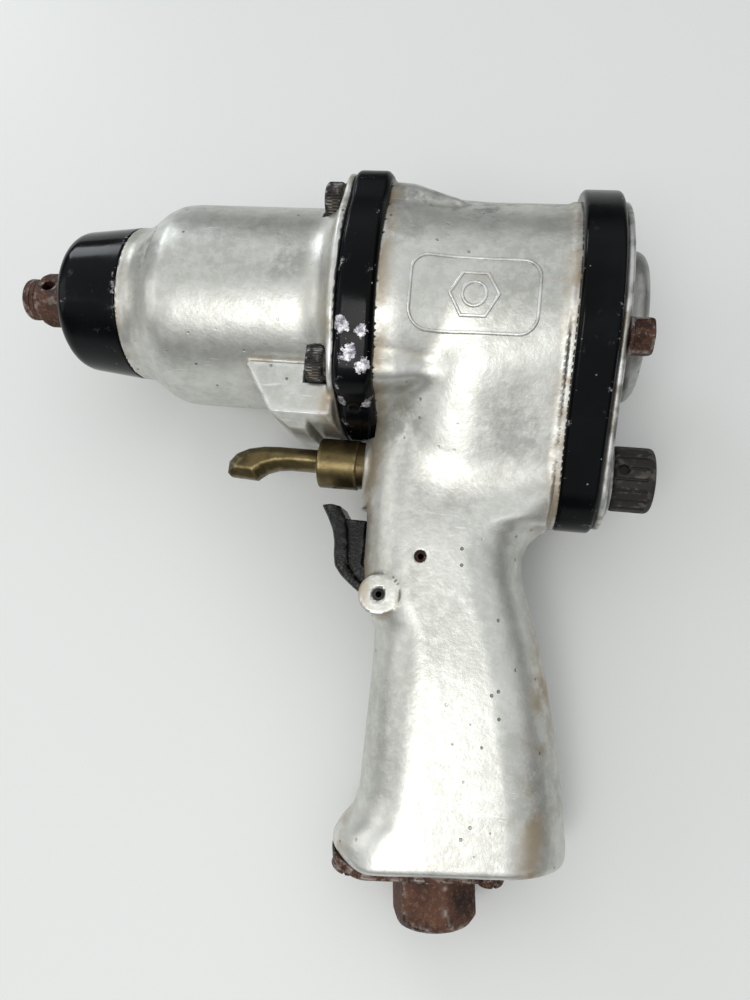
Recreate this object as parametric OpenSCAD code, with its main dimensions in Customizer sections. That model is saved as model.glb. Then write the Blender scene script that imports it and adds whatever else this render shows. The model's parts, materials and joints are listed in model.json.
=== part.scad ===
// Pistol-grip air impact wrench with a half-inch square drive, lying on its right side.
// Every sub-part is drawn in the tool's own axes: x runs back along the drive axis from the end of
// the square drive, y runs up away from the grip, and z runs out of the tool's left side.
// lying() then rolls the whole tool about the drive axis until the front band and the end of the
// grip rest on one level surface. Lengths are in millimetres.

/* [Square drive] */
// Side of the square drive
drive_side = 12.7; // [12.5:0.1:12.9]
// Diameter of the round tip in front of the square
drive_tip_d = 12.4; // [12:0.1:12.6]
// Length of the round tip
drive_tip_len = 4.5; // [4:0.1:5]
// Distance from the drive's end to the shoulder behind the square
drive_len = 14.5; // [13:0.5:16]
// Diameter of the anvil where it runs in its bush
journal_d = 20; // [19:0.5:21]

/* [Nose and hammer case] */
// Radius of the nose ring at its front
ring_front_r = 20; // [19.5:0.1:20.5]
// Radius of the nose ring at its back
ring_rear_r = 22.2; // [21.8:0.1:22.6]
// Front face of the nose ring
ring_x = 18.5; // [18:0.5:19]
// Length of the nose ring
ring_len = 20.2; // [19:0.1:21]
// Radius of the hammer case
case_r = 28.9; // [28.5:0.1:29.5]
// Wall of the hammer case
case_wall = 3.4; // [3:0.1:3.8]

/* [Flanges] */
// Front face of the black band between the hammer case and the motor housing
front_band_x = 103.6; // [103:0.1:104]
// Width of the front band
front_band_w = 10; // [9:0.1:11]
// Radius of the front band between its ears
front_band_r = 37; // [36.5:0.1:37.5]
// Distance of the four front bolts from the drive axis
front_bolt_r = 32; // [31.5:0.1:32.5]
// Front face of the black band behind the motor housing
rear_band_x = 162.2; // [161.5:0.1:163]
// Width of the rear band
rear_band_w = 10.1; // [9:0.1:10.5]
// Radius of the round upper part of the rear band
rear_band_r = 35.3; // [34.8:0.1:35.8]
// Distance of the three rear bolts from the drive axis
rear_bolt_r = 29; // [28.8:0.1:29.2]

/* [Motor housing and grip] */
// Radius of the motor housing's round upper part
housing_r = 31.6; // [31.4:0.1:32.2]
// Radius of the bore that holds the motor
motor_bore_r = 24.5; // [24.2:0.1:24.8]
// Radius of the grip's front and back edges, half its thickness
grip_r = 16; // [15.5:0.1:16.5]
// Depth of the grip's end below the drive axis, measured at the inlet
grip_end = 145.3; // [144:0.1:146]
// Front edge of the grip
grip_front_x = 117.6; // [117:0.1:118.5]

/* [Controls] */
// Depth of the reverse valve below the drive axis
reverse_y = 44.2; // [44:0.1:44.4]
// Depth of the regulator below the drive axis
regulator_y = 42.2; // [42:0.1:42.6]
// Radius of the regulator knob
knob_r = 8.8; // [8.5:0.1:9]
// Trigger pivot behind the drive's end
pivot_x = 119.3; // [119:0.1:119.6]
// Trigger pivot below the drive axis
pivot_y = 79.6; // [79.3:0.1:79.9]
// Depth of the throttle valve below the drive axis
throttle_y = 64.5; // [64.3:0.1:64.7]

/* [Air inlet] */
// Inlet behind the drive's end
inlet_x = 138.6; // [138:0.1:139.2]
// Width across the flats of the inlet bushing
inlet_af = 19; // [19:0.5:20]
// Radius of the quarter-inch pipe thread's bore
thread_r = 5.72; // [5.6:0.01:5.9]
// Length of the thread
thread_len = 13; // [12:0.5:14]
// End of the inlet bushing below the drive axis, before its slant
inlet_end = 160; // [159:0.1:161]

/* [Hidden] */
$fn = 72;
// clearances: turning and sliding pieces, pieces that sit in a bore, and cuts that run past a face
run = 0.05;
seat = 0.05;
past = 1;
journal_r = journal_d / 2;
// the square's turn about the drive axis, as the anvil came to rest
drive_turn = -23.5;
ring_end_x = ring_x + ring_len;
bush_r = 14;
neck_r = 18;
cavity_r = case_r - case_wall;
cavity_x = 57;
lip_r = 36.3;
lip_t = 1.5;
lip_x = front_band_x - lip_t;
ear_r = 7.5;
front_bolt_d = 6;
front_bolt_reach = 18.5;
rear_bolt_d = 5;
rear_bolt_reach = 7.5;
housing_x = front_band_x + front_band_w;
rear_band_end = rear_band_x + rear_band_w;
gasket_t = 0.3;
cover_x = rear_band_end + gasket_t;
cover_t = 1.9;
cover_r = rear_band_r - 2.7;
cover_end = cover_x + cover_t;
hub_end = 181;
// lower round parts of the egg-shaped sections, as [radius, depth below the drive axis]
band_toe = [16, 41.5];
housing_toe = [20, 32];
cover_toe = [15, 41.3];
bearing_w = 8;
bearing_r = 14;
shaft_r = 6;
plate_r = motor_bore_r - seat;
front_plate_x = front_band_x;
cylinder_x = front_plate_x + bearing_w;
cylinder_len = 46;
rear_plate_x = cylinder_x + cylinder_len;
rotor_r = 17.4;
rotor_gap = 0.2;
rotor_bore_r = 19.6;
rotor_bore_drop = rotor_bore_r - rotor_r - run;
vanes = 6;
vane_t = 2.3;
vane_root_r = 9.6;
cage_r = 24;
cage_x = 58;
cage_plate = 4;
hammer_len = 15;
hammer_gap = 0.5;
rear_disc_x = cage_x + cage_plate + 2 * hammer_len + 3 * hammer_gap;
rear_disc_t = 6;
hammer_pin_r = 3;
hammer_pin_y = 16.5;
jaw_r = 12.3;
hex_af = 10;
knob_x = 176.2;
knob_end = 187;
spindle_r = 3;
hub_r = 7;
lever_x = 97.3;
washer_x = 108.4;
neck_x = 110.8;
valve_r = 7;
valve_end = 145;
stem_r = 4;
slot_half = 7.2;
slot_back = 125;
slot_top = 57;
slot_bottom = 85;
pin_r = 1.5;
pin_half = 14;
boss_r = 5.3;
boss_half = 14.8;
bush_end = 135;
chamber_end = 146;
throttle_r = 6;
push_r = 2;
push_x = 113;
disc_t = 3;
second_pin = [129.1, -69];
// the grip's end slants up towards the back
end_slant = 6.8;
// the front of the grip's end bends up, away from the inlet
bend_x = 121.5;
bend_angle = 26;
grip_low = 149.5;
bottom_t = 2;
plate_half = 12;
bottom_screws_x = [117, 153];
bottom_head_r = 3.6;
inlet_stem_r = 10.4;
inlet_top = 131;
exhaust_x = 162.2;
exhaust_top_x = 150;
exhaust_r = 4.5;
// roll that brings the grip's end down to the level of the front band
rest_depth = 145.5;
lean = asin(front_band_r / norm([rest_depth, grip_r])) - atan2(grip_r, rest_depth);

// ---- helpers ----

module lying() rotate([lean, 0, 0]) children();

// a solid turned about the line through (y, z) parallel to x; points are [radius, x]
module turned(points, y = 0, z = 0)
    translate([0, y, z]) rotate([0, 90, 0]) rotate_extrude() polygon(points);

// a rod along x from x0 to x1
module rod(r, x0, x1, y = 0, z = 0, sides = 72)
    translate([x0, y, z]) rotate([0, 90, 0]) cylinder(h = x1 - x0, r = r, $fn = sides);

// a tube along x
module tube(r_out, r_in, x0, x1, y = 0, z = 0)
    difference() {
        rod(r_out, x0, x1, y, z);
        rod(r_in, x0 - past, x1 + past, y, z);
    }

// a section drawn in (y, z), extruded from x0 to x1
module along(x0, x1) translate([x0, 0, 0]) rotate([90, 0, 90]) linear_extrude(x1 - x0) children();

// a rod down the tool's y axis between two depths below the drive axis
module upright(r, x, top, bottom, z = 0, sides = 72)
    translate([x, -top, z]) rotate([90, 0, 0]) cylinder(h = bottom - top, r = r, $fn = sides);

// a rod across the tool, along z, centred on the middle plane
module across(r, x, y, half, sides = 72)
    translate([x, y, -half]) cylinder(h = 2 * half, r = r, $fn = sides);

// slants the pieces at the grip's end about the inlet's place on it
module at_end()
    translate([inlet_x, -grip_end, 0]) rotate([0, 0, end_slant]) translate([-inlet_x, grip_end, 0])
        children();

// the same, for the pieces on the part that bends up
module at_bend()
    at_end() translate([bend_x, -grip_end, 0]) rotate([0, 0, -bend_angle]) translate([-bend_x, grip_end, 0])
        children();

// places of the four front bolts and the three rear bolts, as [y, z]
function front_spots() = [for (a = [45 : 90 : 315]) front_bolt_r * [cos(a), sin(a)]];
function rear_spots() = [for (a = [0, 115, -115]) rear_bolt_r * [cos(a), sin(a)]];

// an egg-shaped section: a circle, a smaller one below it, and the straight sides that join them
module egg(r, toe, bigger = 0) {
    upper = r + bigger;
    lower = toe[0] + bigger;
    lean_in = asin((upper - lower) / toe[1]);
    side = [-sin(lean_in), cos(lean_in)];
    down = [-toe[1], 0];
    mirrored = [side[0], -side[1]];
    union() {
        circle(upper);
        translate(down) circle(lower);
        polygon([upper * side, down + lower * side, down + lower * mirrored, upper * mirrored]);
    }
}

// a cap screw along x: head in front of x0, shank behind it
module cap_screw(x0, reach, r, head_r, head_len, key, y, z)
    difference() {
        union() {
            rod(head_r, x0 - head_len, x0, y, z);
            rod(r, x0, x0 + reach, y, z);
        }
        rod(key, x0 - head_len - past, x0 - head_len / 2, y, z, 6);
    }

// ---- drive and nose ----

module anvil() lying() color("#4a3028") difference() {
    groove_x = 2.4;
    groove_w = 1.4;
    groove_r = drive_tip_d / 2 - 0.9;
    corner_r = 8;
    core_r = 9;
    core_end = rear_disc_x - 1;
    pin_hole_x = 8.2;
    union() {
        turned([[0, 0], [drive_tip_d / 2 - 0.8, 0], [drive_tip_d / 2, 0.8],
            [drive_tip_d / 2, groove_x], [groove_r, groove_x], [groove_r, groove_x + groove_w],
            [drive_tip_d / 2, groove_x + groove_w], [drive_tip_d / 2, drive_tip_len + past],
            [0, drive_tip_len + past]]);
        intersection() {
            translate([drive_tip_len, 0, 0]) rotate([drive_turn, 0, 0])
                translate([0, -drive_side / 2, -drive_side / 2])
                    cube([drive_len - drive_tip_len + past, drive_side, drive_side]);
            turned([[0, drive_tip_len], [drive_tip_d / 2, drive_tip_len],
                [corner_r, drive_tip_len + 2], [corner_r, drive_len + past], [0, drive_len + past]]);
        }
        turned([[0, drive_len], [journal_r - 1, drive_len], [journal_r, drive_len + 1],
            [journal_r, cavity_x], [core_r, cavity_x], [core_r, core_end], [0, core_end]]);
        for (side = [0, 180]) rotate([side, 0, 0])
            translate([cage_x + cage_plate + hammer_gap, core_r - past, -4])
                cube([2 * hammer_len, jaw_r - core_r + past - 0.4, 8]);
    }
    translate([pin_hole_x, 0, 0]) rotate([drive_turn, 0, 0]) cylinder(h = drive_side, r = 1.9);
}

module friction_ring() lying() color("#5a5350")
    tube(drive_tip_d / 2 - 0.1, drive_tip_d / 2 - 0.85, 2.5, 3.7);

module nose_ring() lying() color("#101214") {
    edge = 2.5;
    turned([[13, ring_x], [ring_front_r - edge, ring_x], [ring_front_r - 0.7, ring_x + 0.7],
        [ring_front_r, ring_x + edge], [ring_rear_r, ring_end_x], [neck_r + seat, ring_end_x],
        [neck_r + seat, ring_x + 2], [13, ring_x + 2]]);
}

module nose_seal() lying() color("#26241f")
    tube(13 - seat, journal_r + run, ring_x + 0.6, ring_x + 2.5);

module anvil_bush() lying() color("#8d6b38") tube(bush_r - seat, journal_r + run, ring_x + 2.5, cavity_x - 2);

// ---- hammer case ----

module case_lug() intersection() {
    half = 22;
    top = -20;
    low = -39.1;
    translate([0, 0, -half]) linear_extrude(2 * half)
        polygon([[77, top], [78.6, -23], [86.8, -36], [90.5, low + 0.8], [95.6, low],
            [96.4, -36.6], [lip_x + past, -36.6], [lip_x + past, top]]);
    along(70, front_band_x)
        polygon([[top - 1, 16], [-22.6, half], [-35.5, half], [low, 10], [low, -10], [-35.5, -half],
            [-22.6, -half], [top - 1, -16]]);
}

module hammer_case() lying() color("#b9b6ae") difference() {
    shoulder = 7;
    shoulder_x = ring_end_x + 3;
    flare = 9;
    union() {
        turned(concat([[bush_r, ring_x + 2.5], [neck_r, ring_x + 2.5], [neck_r, ring_end_x],
            [ring_rear_r, ring_end_x], [ring_rear_r, shoulder_x]],
            [for (a = [15 : 15 : 90]) [ring_rear_r + (1 - cos(a)) * (case_r - ring_rear_r) / 2,
                shoulder_x + shoulder * sin(a)]],
            [for (a = [15 : 15 : 90]) [(case_r + ring_rear_r) / 2 + sin(a) * (case_r - ring_rear_r) / 2,
                shoulder_x + shoulder + shoulder * (1 - cos(a))]],
            [for (a = [0 : 15 : 75]) [case_r + flare * (1 - cos(a)), lip_x - flare + flare * sin(a)]],
            [[lip_r, lip_x], [lip_r, front_band_x], [bush_r, front_band_x]]));
        for (p = front_spots()) rod(ear_r - 0.8, lip_x, front_band_x, p[0], p[1]);
        case_lug();
    }
    rod(cavity_r, cavity_x, front_band_x + past);
    for (p = front_spots()) {
        rod(front_bolt_d / 2 + seat, lip_x - past, front_band_x + past, p[0], p[1]);
        rod(4.9, lip_x - 7, lip_x, p[0], p[1]);
    }
}

// ---- hammer mechanism ----

module hammer_cage() lying() color("#6f7376") difference() {
    rear_end = rear_disc_x + rear_disc_t;
    union() {
        tube(cage_r, journal_r + 0.5, cage_x, cage_x + cage_plate);
        rod(cage_r, rear_disc_x, rear_end);
        intersection() {
            tube(cage_r, 21.2, cage_x, rear_end);
            translate([cage_x, -9, -cage_r - past]) cube([rear_end - cage_x, 18, 2 * (cage_r + past)]);
        }
    }
    for (y = [-hammer_pin_y, hammer_pin_y])
        rod(hammer_pin_r + 0.02, cage_x - past, rear_end + past, y);
    rod((hex_af + 0.1) / sqrt(3), rear_disc_x - past, rear_end + past, 0, 0, 6);
}

// one swinging hammer: a ring with a hole on its own pin and a slot over the other pin
module hammer(x0, pin_side) difference() {
    tube(20.6, jaw_r + 0.4, x0, x0 + hammer_len);
    rod(hammer_pin_r + run, x0 - past, x0 + hammer_len + past, pin_side * hammer_pin_y);
    translate([x0 - past, -pin_side * (hammer_pin_y + 3.8) - 7, -4.5])
        cube([hammer_len + 2 * past, 14, 9]);
}

module front_hammer() lying() color("#54585b") hammer(cage_x + cage_plate + hammer_gap, 1);

module rear_hammer() lying() color("#54585b")
    hammer(cage_x + cage_plate + hammer_len + 2 * hammer_gap, -1);

module hammer_pins() lying() color("#84888b") for (y = [-hammer_pin_y, hammer_pin_y])
    rod(hammer_pin_r, cage_x, rear_disc_x + rear_disc_t, y);

// ---- front band and bolts ----

module front_band() lying() color("#0d0f11") difference() {
    bevel = 2.2;
    union() {
        turned([[20, front_band_x], [front_band_r - bevel, front_band_x],
            [front_band_r, front_band_x + bevel], [front_band_r, housing_x - bevel],
            [front_band_r - bevel, housing_x], [20, housing_x]]);
        for (p = front_spots())
            turned([[0, front_band_x], [ear_r - bevel, front_band_x],
                [ear_r, front_band_x + bevel], [ear_r, housing_x - bevel],
                [ear_r - bevel, housing_x], [0, housing_x]], p[0], p[1]);
    }
    rod(motor_bore_r, front_band_x - past, housing_x + past);
    for (p = front_spots())
        rod(front_bolt_d / 2 + seat, front_band_x - past, housing_x + past, p[0], p[1]);
}

module front_bolts() lying() color("#232323") for (p = front_spots())
    cap_screw(lip_x, front_bolt_reach, front_bolt_d / 2, 4.7, 6.5, 2.9, p[0], p[1]);

// ---- air motor ----

// a ball bearing along x: two races and eight balls
module bearing(x0) {
    ball_r = 1.9;
    ball_track = (bearing_r + shaft_r) / 2;
    mid_x = x0 + bearing_w / 2;
    difference() {
        union() {
            tube(bearing_r - seat, ball_track + 1.1, x0, x0 + bearing_w);
            tube(ball_track - 1.1, shaft_r + run, x0, x0 + bearing_w);
        }
        translate([mid_x, 0, 0]) rotate([0, 90, 0]) rotate_extrude()
            translate([ball_track, 0]) circle(ball_r + 0.02);
    }
    for (a = [0 : 45 : 315]) rotate([a, 0, 0]) translate([mid_x, ball_track, 0]) sphere(ball_r);
}

module front_bearing() lying() color("#9a9da0") bearing(front_plate_x);

module rear_bearing() lying() color("#9a9da0") bearing(rear_plate_x);

module front_end_plate() lying() color("#7d8184")
    tube(plate_r, bearing_r, front_plate_x, front_plate_x + bearing_w);

module rear_end_plate() lying() color("#7d8184")
    tube(plate_r, bearing_r, rear_plate_x, rear_plate_x + bearing_w);

module clamp_ring() lying() color("#6a6e71")
    tube(plate_r, 19, rear_plate_x + bearing_w, cover_x);

module rotor() lying() color("#8b8f92") difference() {
    front_x = cylinder_x + rotor_gap;
    back_x = rear_plate_x - rotor_gap;
    union() {
        rod(rotor_r, front_x, back_x);
        rod(shaft_r, rear_disc_x + rear_disc_t + 0.5, back_x + bearing_w + 0.6);
        rod(hex_af / sqrt(3), rear_disc_x + 0.2, rear_disc_x + rear_disc_t + 0.6, 0, 0, 6);
    }
    for (i = [0 : vanes - 1]) rotate([i * 360 / vanes, 0, 0])
        translate([front_x - past, vane_root_r - 0.1, -vane_t / 2 - run])
            cube([cylinder_len + 2 * past, rotor_r, vane_t + 2 * run]);
}

module rotor_vanes() lying() color("#6b4a2c") for (i = [0 : vanes - 1])
    rotate([i * 360 / vanes, 0, 0]) translate([cylinder_x + rotor_gap, vane_root_r, -vane_t / 2])
        cube([cylinder_len - 2 * rotor_gap, rotor_r - vane_root_r - 0.2, vane_t]);

module motor_cylinder() lying() color("#7a7e81") difference() {
    rod(plate_r, cylinder_x, rear_plate_x);
    rod(rotor_bore_r, cylinder_x - past, rear_plate_x + past, -rotor_bore_drop);
    // the exhaust ports, on the side away from the inlet
    for (x = [cylinder_x + 16, cylinder_x + 23, cylinder_x + 30])
        upright(2, x, 0, plate_r + past, 10);
}

// ---- motor housing with the grip ----

module grip_body() {
    back_top = [140.9, -77.5];
    back_low = [156.3, -grip_low];
    front_axis = grip_front_x + grip_r;
    tilt = atan2(back_low[0] - back_top[0], back_top[1] - back_low[1]);
    // front edge, back edge and the flat sides between them
    upright(grip_r, front_axis, 60, grip_low);
    intersection() {
        translate([back_top[0], back_top[1], 0]) rotate([90, 0, 0]) rotate([0, tilt, 0])
            translate([0, 0, -22]) cylinder(h = 105, r = grip_r);
        translate([100, -grip_low, -grip_r - past]) cube([90, grip_low - 50, 2 * (grip_r + past)]);
    }
    translate([0, 0, -grip_r]) linear_extrude(2 * grip_r)
        polygon([[front_axis, -50], [back_top[0] - 3, -50], back_top, back_low, [front_axis, -grip_low]]);
    // the lip that stops the hand at the grip's end
    translate([0, 0, -11]) linear_extrude(22)
        polygon([[grip_front_x + 6, -130], [grip_front_x, -131], [grip_front_x - 1, -134.5],
            [113.6, -138], [112.2, -141], [112.2, -146.5], [113.6, -grip_low], [130, -grip_low]]);
}

module housing_neck() {
    half = 15;
    // the front of the neck, from the front band down past the trigger
    translate([0, 0, -half]) linear_extrude(2 * half)
        polygon([[neck_x, -37.5], [neck_x, -50], [112, -57], [112.2, -pivot_y],
            [pivot_x, -pivot_y - boss_r + 1], [150, -90], [154.8, -71], [155.6, -65],
            [158.5, -60], [rear_band_x, -56.4], [rear_band_x, -40], [housing_x, -30],
            [housing_x, -37.5]]);
    across(boss_r, pivot_x, -pivot_y, boss_half);
}

// the leaning sides below the motor, rounded towards the front
module housing_skirt(bigger = 0) intersection() {
    corner = 30 + bigger;
    wide = 31.2 + bigger;
    crease = [-17, 28.6 + bigger];
    foot = [-50, 13 + bigger];
    along(housing_x, rear_band_x)
        polygon([[-5, wide], crease, foot, [foot[0], -foot[1]], [crease[0], -crease[1]], [-5, -wide]]);
    rotate([90, 0, 0]) linear_extrude(52) union() {
        for (side = [-1, 1]) translate([neck_x - bigger + corner, side * (wide - corner)]) circle(corner);
        translate([neck_x - bigger, corner - wide]) square([corner, 2 * (wide - corner)]);
        translate([neck_x - bigger + corner, -wide]) square([rear_band_x - neck_x, 2 * wide]);
    }
}

module motor_housing() lying() color("#c4c2bb") difference() {
    union() {
        along(housing_x, rear_band_x) egg(housing_r, housing_toe);
        for (p = front_spots())
            turned([[0, housing_x], [5, housing_x], [5, housing_x + 5], [4.5, housing_x + 8.5],
                [3.2, housing_x + 11], [1.4, housing_x + 18], [0, housing_x + 18]], p[0], p[1]);
        for (p = rear_spots()) rod(4.2, rear_band_x - rear_bolt_reach - 1, rear_band_x, p[0], p[1]);
        housing_skirt();
        housing_neck();
        grip_body();
    }
    rod(motor_bore_r, housing_x - past, rear_band_x + past);
    for (p = front_spots())
        rod(front_bolt_d / 2 + seat, housing_x - past, lip_x + front_bolt_reach + 0.5, p[0], p[1]);
    for (p = rear_spots())
        rod(rear_bolt_d / 2 + seat, rear_band_x - rear_bolt_reach - 0.5, rear_band_x + past, p[0], p[1]);
    // reverse valve, regulator and throttle bores
    rod(valve_r + run, neck_x - past, valve_end + 1, -reverse_y);
    rod(spindle_r + run, 151, rear_band_x + past, -regulator_y);
    rod(throttle_r + seat, slot_back - past, chamber_end, -throttle_y);
    // trigger slot, the trigger's pin and the pin that keeps the throttle bush
    translate([neck_x - 6, -slot_bottom, -slot_half])
        cube([slot_back - neck_x + 6, slot_bottom - slot_top, 2 * slot_half]);
    across(pin_r + seat, pivot_x, -pivot_y, 2 * grip_r);
    across(pin_r + seat, second_pin[0], second_pin[1], 2 * grip_r);
    // the flat face round the trigger's pin, on the left side
    translate([pivot_x, -pivot_y, boss_half]) cylinder(h = 5, r = boss_r + 0.1);
    // air passages: inlet, transfer to the reverse valve, feed to the motor, exhaust
    upright(5, inlet_x, throttle_y, grip_end - 5);
    at_end() {
        translate([100, -grip_end - 20, -25]) cube([90, 20, 50]);
        upright(inlet_stem_r + seat, inlet_x, inlet_top - 2.5, grip_end + past);
        upright(1.3, bottom_screws_x[1], grip_end - 9, grip_end + past);
    }
    at_bend() {
        translate([bend_x - 25, -grip_end - 20, -25]) cube([25, 20, 50]);
        upright(1.3, bottom_screws_x[0], grip_end - 9, grip_end + past);
    }
    upright(2.5, 131.5, reverse_y, throttle_y);
    upright(3.5, 122, 20, reverse_y);
    exhaust_passage();
}

// the exhaust passage, from the motor bore to the grip's end
module exhaust_passage() {
    tilt = atan2(exhaust_x - exhaust_top_x, grip_end - 20);
    translate([exhaust_top_x, -20, 0]) rotate([90, 0, 0]) rotate([0, tilt, 0])
        cylinder(h = grip_end, r = exhaust_r);
}

// a plain raised frame round a six-sided nut, on the housing's left side
module side_badge() lying() color("#c4c2bb") difference() {
    badge = [32, 19];
    line = 0.9;
    raised = 0.6;
    middle = [137.3, -5.5];
    intersection() {
        union() {
            along(118, 158) egg(housing_r, housing_toe, raised);
            housing_skirt(raised);
        }
        translate([middle[0], middle[1], 0]) linear_extrude(40) union() {
            difference() {
                square(badge, center = true);
                square(badge - 2 * [line, line], center = true);
            }
            difference() {
                circle(6.2, $fn = 6);
                circle(3);
            }
        }
    }
    along(117, 159) egg(housing_r, housing_toe);
    housing_skirt();
}

// ---- rear band and cover ----

module rear_band() lying() color("#0d0f11") difference() {
    along(rear_band_x, rear_band_end) egg(rear_band_r, band_toe);
    rod(motor_bore_r, rear_band_x - past, rear_band_end + past);
    for (p = rear_spots()) rod(rear_bolt_d / 2 + seat, rear_band_x - past, rear_band_end + past, p[0], p[1]);
    rod(spindle_r + run, rear_band_x - past, rear_band_end + past, -regulator_y);
}

module rear_gasket() lying() color("#1b1b1b") difference() {
    along(rear_band_end, cover_x) egg(cover_r - 0.4, cover_toe);
    rod(motor_bore_r, rear_band_end - past, cover_x + past);
    for (p = rear_spots()) rod(rear_bolt_d / 2 + seat, rear_band_end - past, cover_x + past, p[0], p[1]);
    rod(spindle_r + run, rear_band_end - past, cover_x + past, -regulator_y);
}

module rear_cover() lying() color("#a9a8a2") difference() {
    hub_top = 20.5;
    round_r = 4;
    union() {
        along(cover_x, cover_end) egg(cover_r, cover_toe);
        turned(concat([[0, cover_end - past], [hub_top, cover_end - past], [hub_top, hub_end - round_r]],
            [for (a = [15 : 15 : 90]) [hub_top - round_r * (1 - cos(a)), hub_end - round_r * (1 - sin(a))]],
            [[0, hub_end]]));
        rod(10.5, cover_end - past, knob_x - 0.2, -regulator_y);
        translate([cover_end - past, -33, -5]) cube([3, 19, 10]);
    }
    rod(shaft_r + 3, cover_x - past, cover_x + 5);
    for (p = rear_spots()) rod(rear_bolt_d / 2 + seat, cover_x - past, cover_end + past, p[0], p[1]);
    for (p = rear_spots()) rod(5.2, cover_end, hub_end + past, p[0], p[1]);
    rod(spindle_r + run, cover_x - past, knob_x + past, -regulator_y);
}

module rear_bolt(y, z) {
    rod(rear_bolt_d / 2, rear_band_x - rear_bolt_reach, cover_end + past, y, z);
    rod(4.7, cover_end, cover_end + 5.8, y, z, 6);
}

module rear_hex_bolts() lying() color("#6b4433") for (i = [1, 2])
    rear_bolt(rear_spots()[i][0], rear_spots()[i][1]);

module rear_top_bolt() lying() color("#202020") {
    spot = rear_spots()[0];
    difference() {
        union() {
            rod(rear_bolt_d / 2, rear_band_x - rear_bolt_reach, cover_end + past, spot[0], spot[1]);
            rod(4.25, cover_end, cover_end + 3, spot[0], spot[1]);
        }
        rod(2.3, cover_end + 1.2, cover_end + 4, spot[0], spot[1], 6);
    }
}

// ---- regulator ----

module regulator_knob() lying() color("#3a3330") difference() {
    ribs = 18;
    rim = 1.2;
    turned([[spindle_r, knob_x], [knob_r, knob_x], [knob_r, knob_end - rim], [knob_r - rim, knob_end],
        [0, knob_end], [0, knob_end - 3], [spindle_r, knob_end - 3]], -regulator_y);
    for (i = [0 : ribs - 1]) translate([0, -regulator_y, 0]) rotate([i * 360 / ribs, 0, 0])
        rod(0.4, knob_x - past, knob_end - 2.2, knob_r + 0.1, 0, 24);
    translate([knob_x + 2.6, -regulator_y, 0]) rotate([-7, 0, 0]) cylinder(h = 2 * knob_r, r = 1.3);
}

module knob_screw() lying() color("#2b2624")
    translate([knob_x + 2.6, -regulator_y, 0]) rotate([-7, 0, 0])
        translate([0, 0, spindle_r + run]) cylinder(h = 4.4, r = 1.25);

module regulator_spindle() lying() color("#8f8a7c")
    turned([[0, 153], [1.2, 153], [spindle_r, 159], [spindle_r, knob_end - 3.05], [0, knob_end - 3.05]],
        -regulator_y);

// ---- reverse lever and valve ----

module reverse_lever() lying() color("#9a7b3c") difference() {
    arm_half = 3.2;
    tip_x = 70.6;
    tip_low = -50.9;
    arm_mid = -43.9;
    union() {
        rod(hub_r, lever_x, washer_x, -reverse_y);
        // arm, rounded at the tip, with the tip block turned down
        translate([0, 0, -4]) linear_extrude(8) union() {
            translate([76, arm_mid - arm_half]) square([lever_x - 76 + 1.5, 2 * arm_half]);
            polygon([[tip_x, -46.2], [tip_x + 5, -42], [80, arm_mid + arm_half],
                [87, arm_mid - arm_half], [82, -48.4], [79.2, tip_low], [tip_x + 1.3, tip_low]]);
        }
    }
    rod(stem_r + run, lever_x - past, washer_x + past, -reverse_y);
    upright(1.3, lever_x + 5.4, reverse_y - 10, reverse_y + 10);
}

module lever_pin() lying() color("#6f6a60")
    upright(1.25, lever_x + 5.4, reverse_y - 6.2, reverse_y + 6.2);

module lever_washer() lying() color("#8a6f38") tube(6.6, stem_r + run, washer_x, neck_x, -reverse_y);

module reverse_valve() lying() color("#8f8a7c") difference() {
    turned([[0, lever_x + 0.2], [stem_r, lever_x + 0.2], [stem_r, neck_x + 1.2], [valve_r, neck_x + 1.2],
        [valve_r, 117], [5, 117], [5, 121.5], [valve_r, 121.5], [valve_r, 127.5], [4, 127.5], [4, 135.5],
        [valve_r, 135.5], [valve_r, valve_end], [0, valve_end]], -reverse_y);
    upright(1.3, lever_x + 5.4, reverse_y - 10, reverse_y + 10);
}

// ---- trigger and throttle ----

module trigger() lying() color("#17181a") difference() {
    half = 6.9;
    tip = [100.1, -57];
    // finger face: a slim curved plate with a hooked top
    face = [tip, [102.8, -56.6], [106.6, -59.6], [108.6, -64], [109.2, -71.3], [113.4, -77.6],
        [pivot_x - 2.5, -pivot_y - 3.6], [112.8, -79.2], [107.5, -75.8], [105.3, -73.4], [104.8, -70],
        [104.5, -66], [103.2, -61.6]];
    web = [[106.2, -59.9], [push_x, -59.9], [push_x, -72], [pivot_x + 1, -pivot_y + 4.6],
        [pivot_x, -pivot_y - 4.6], [112, -79], [106, -72]];
    union() {
        translate([0, 0, -half]) linear_extrude(2 * half) polygon(face);
        translate([0, 0, -half + 1]) linear_extrude(2 * half - 2) polygon(web);
        across(4.6, pivot_x, -pivot_y, half - 1);
    }
    across(pin_r + run, pivot_x, -pivot_y, 2 * half);
}

module roll_pin(x, y) difference() {
    across(pin_r, x, y, pin_half);
    across(0.8, x, y, pin_half + past, 48);
}

module trigger_pin() lying() color("#35302c") roll_pin(pivot_x, -pivot_y);

module throttle_pin() lying() color("#4a3a30") roll_pin(second_pin[0], second_pin[1]);

module throttle_bush() lying() color("#8d6b38") difference() {
    union() {
        tube(throttle_r, push_r + run, slot_back, 128, -throttle_y);
        tube(throttle_r, 2.8, 128, bush_end, -throttle_y);
    }
    across(pin_r + seat, second_pin[0], second_pin[1], 10);
    upright(1.8, 131.5, throttle_y - 8, throttle_y);
}

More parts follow.
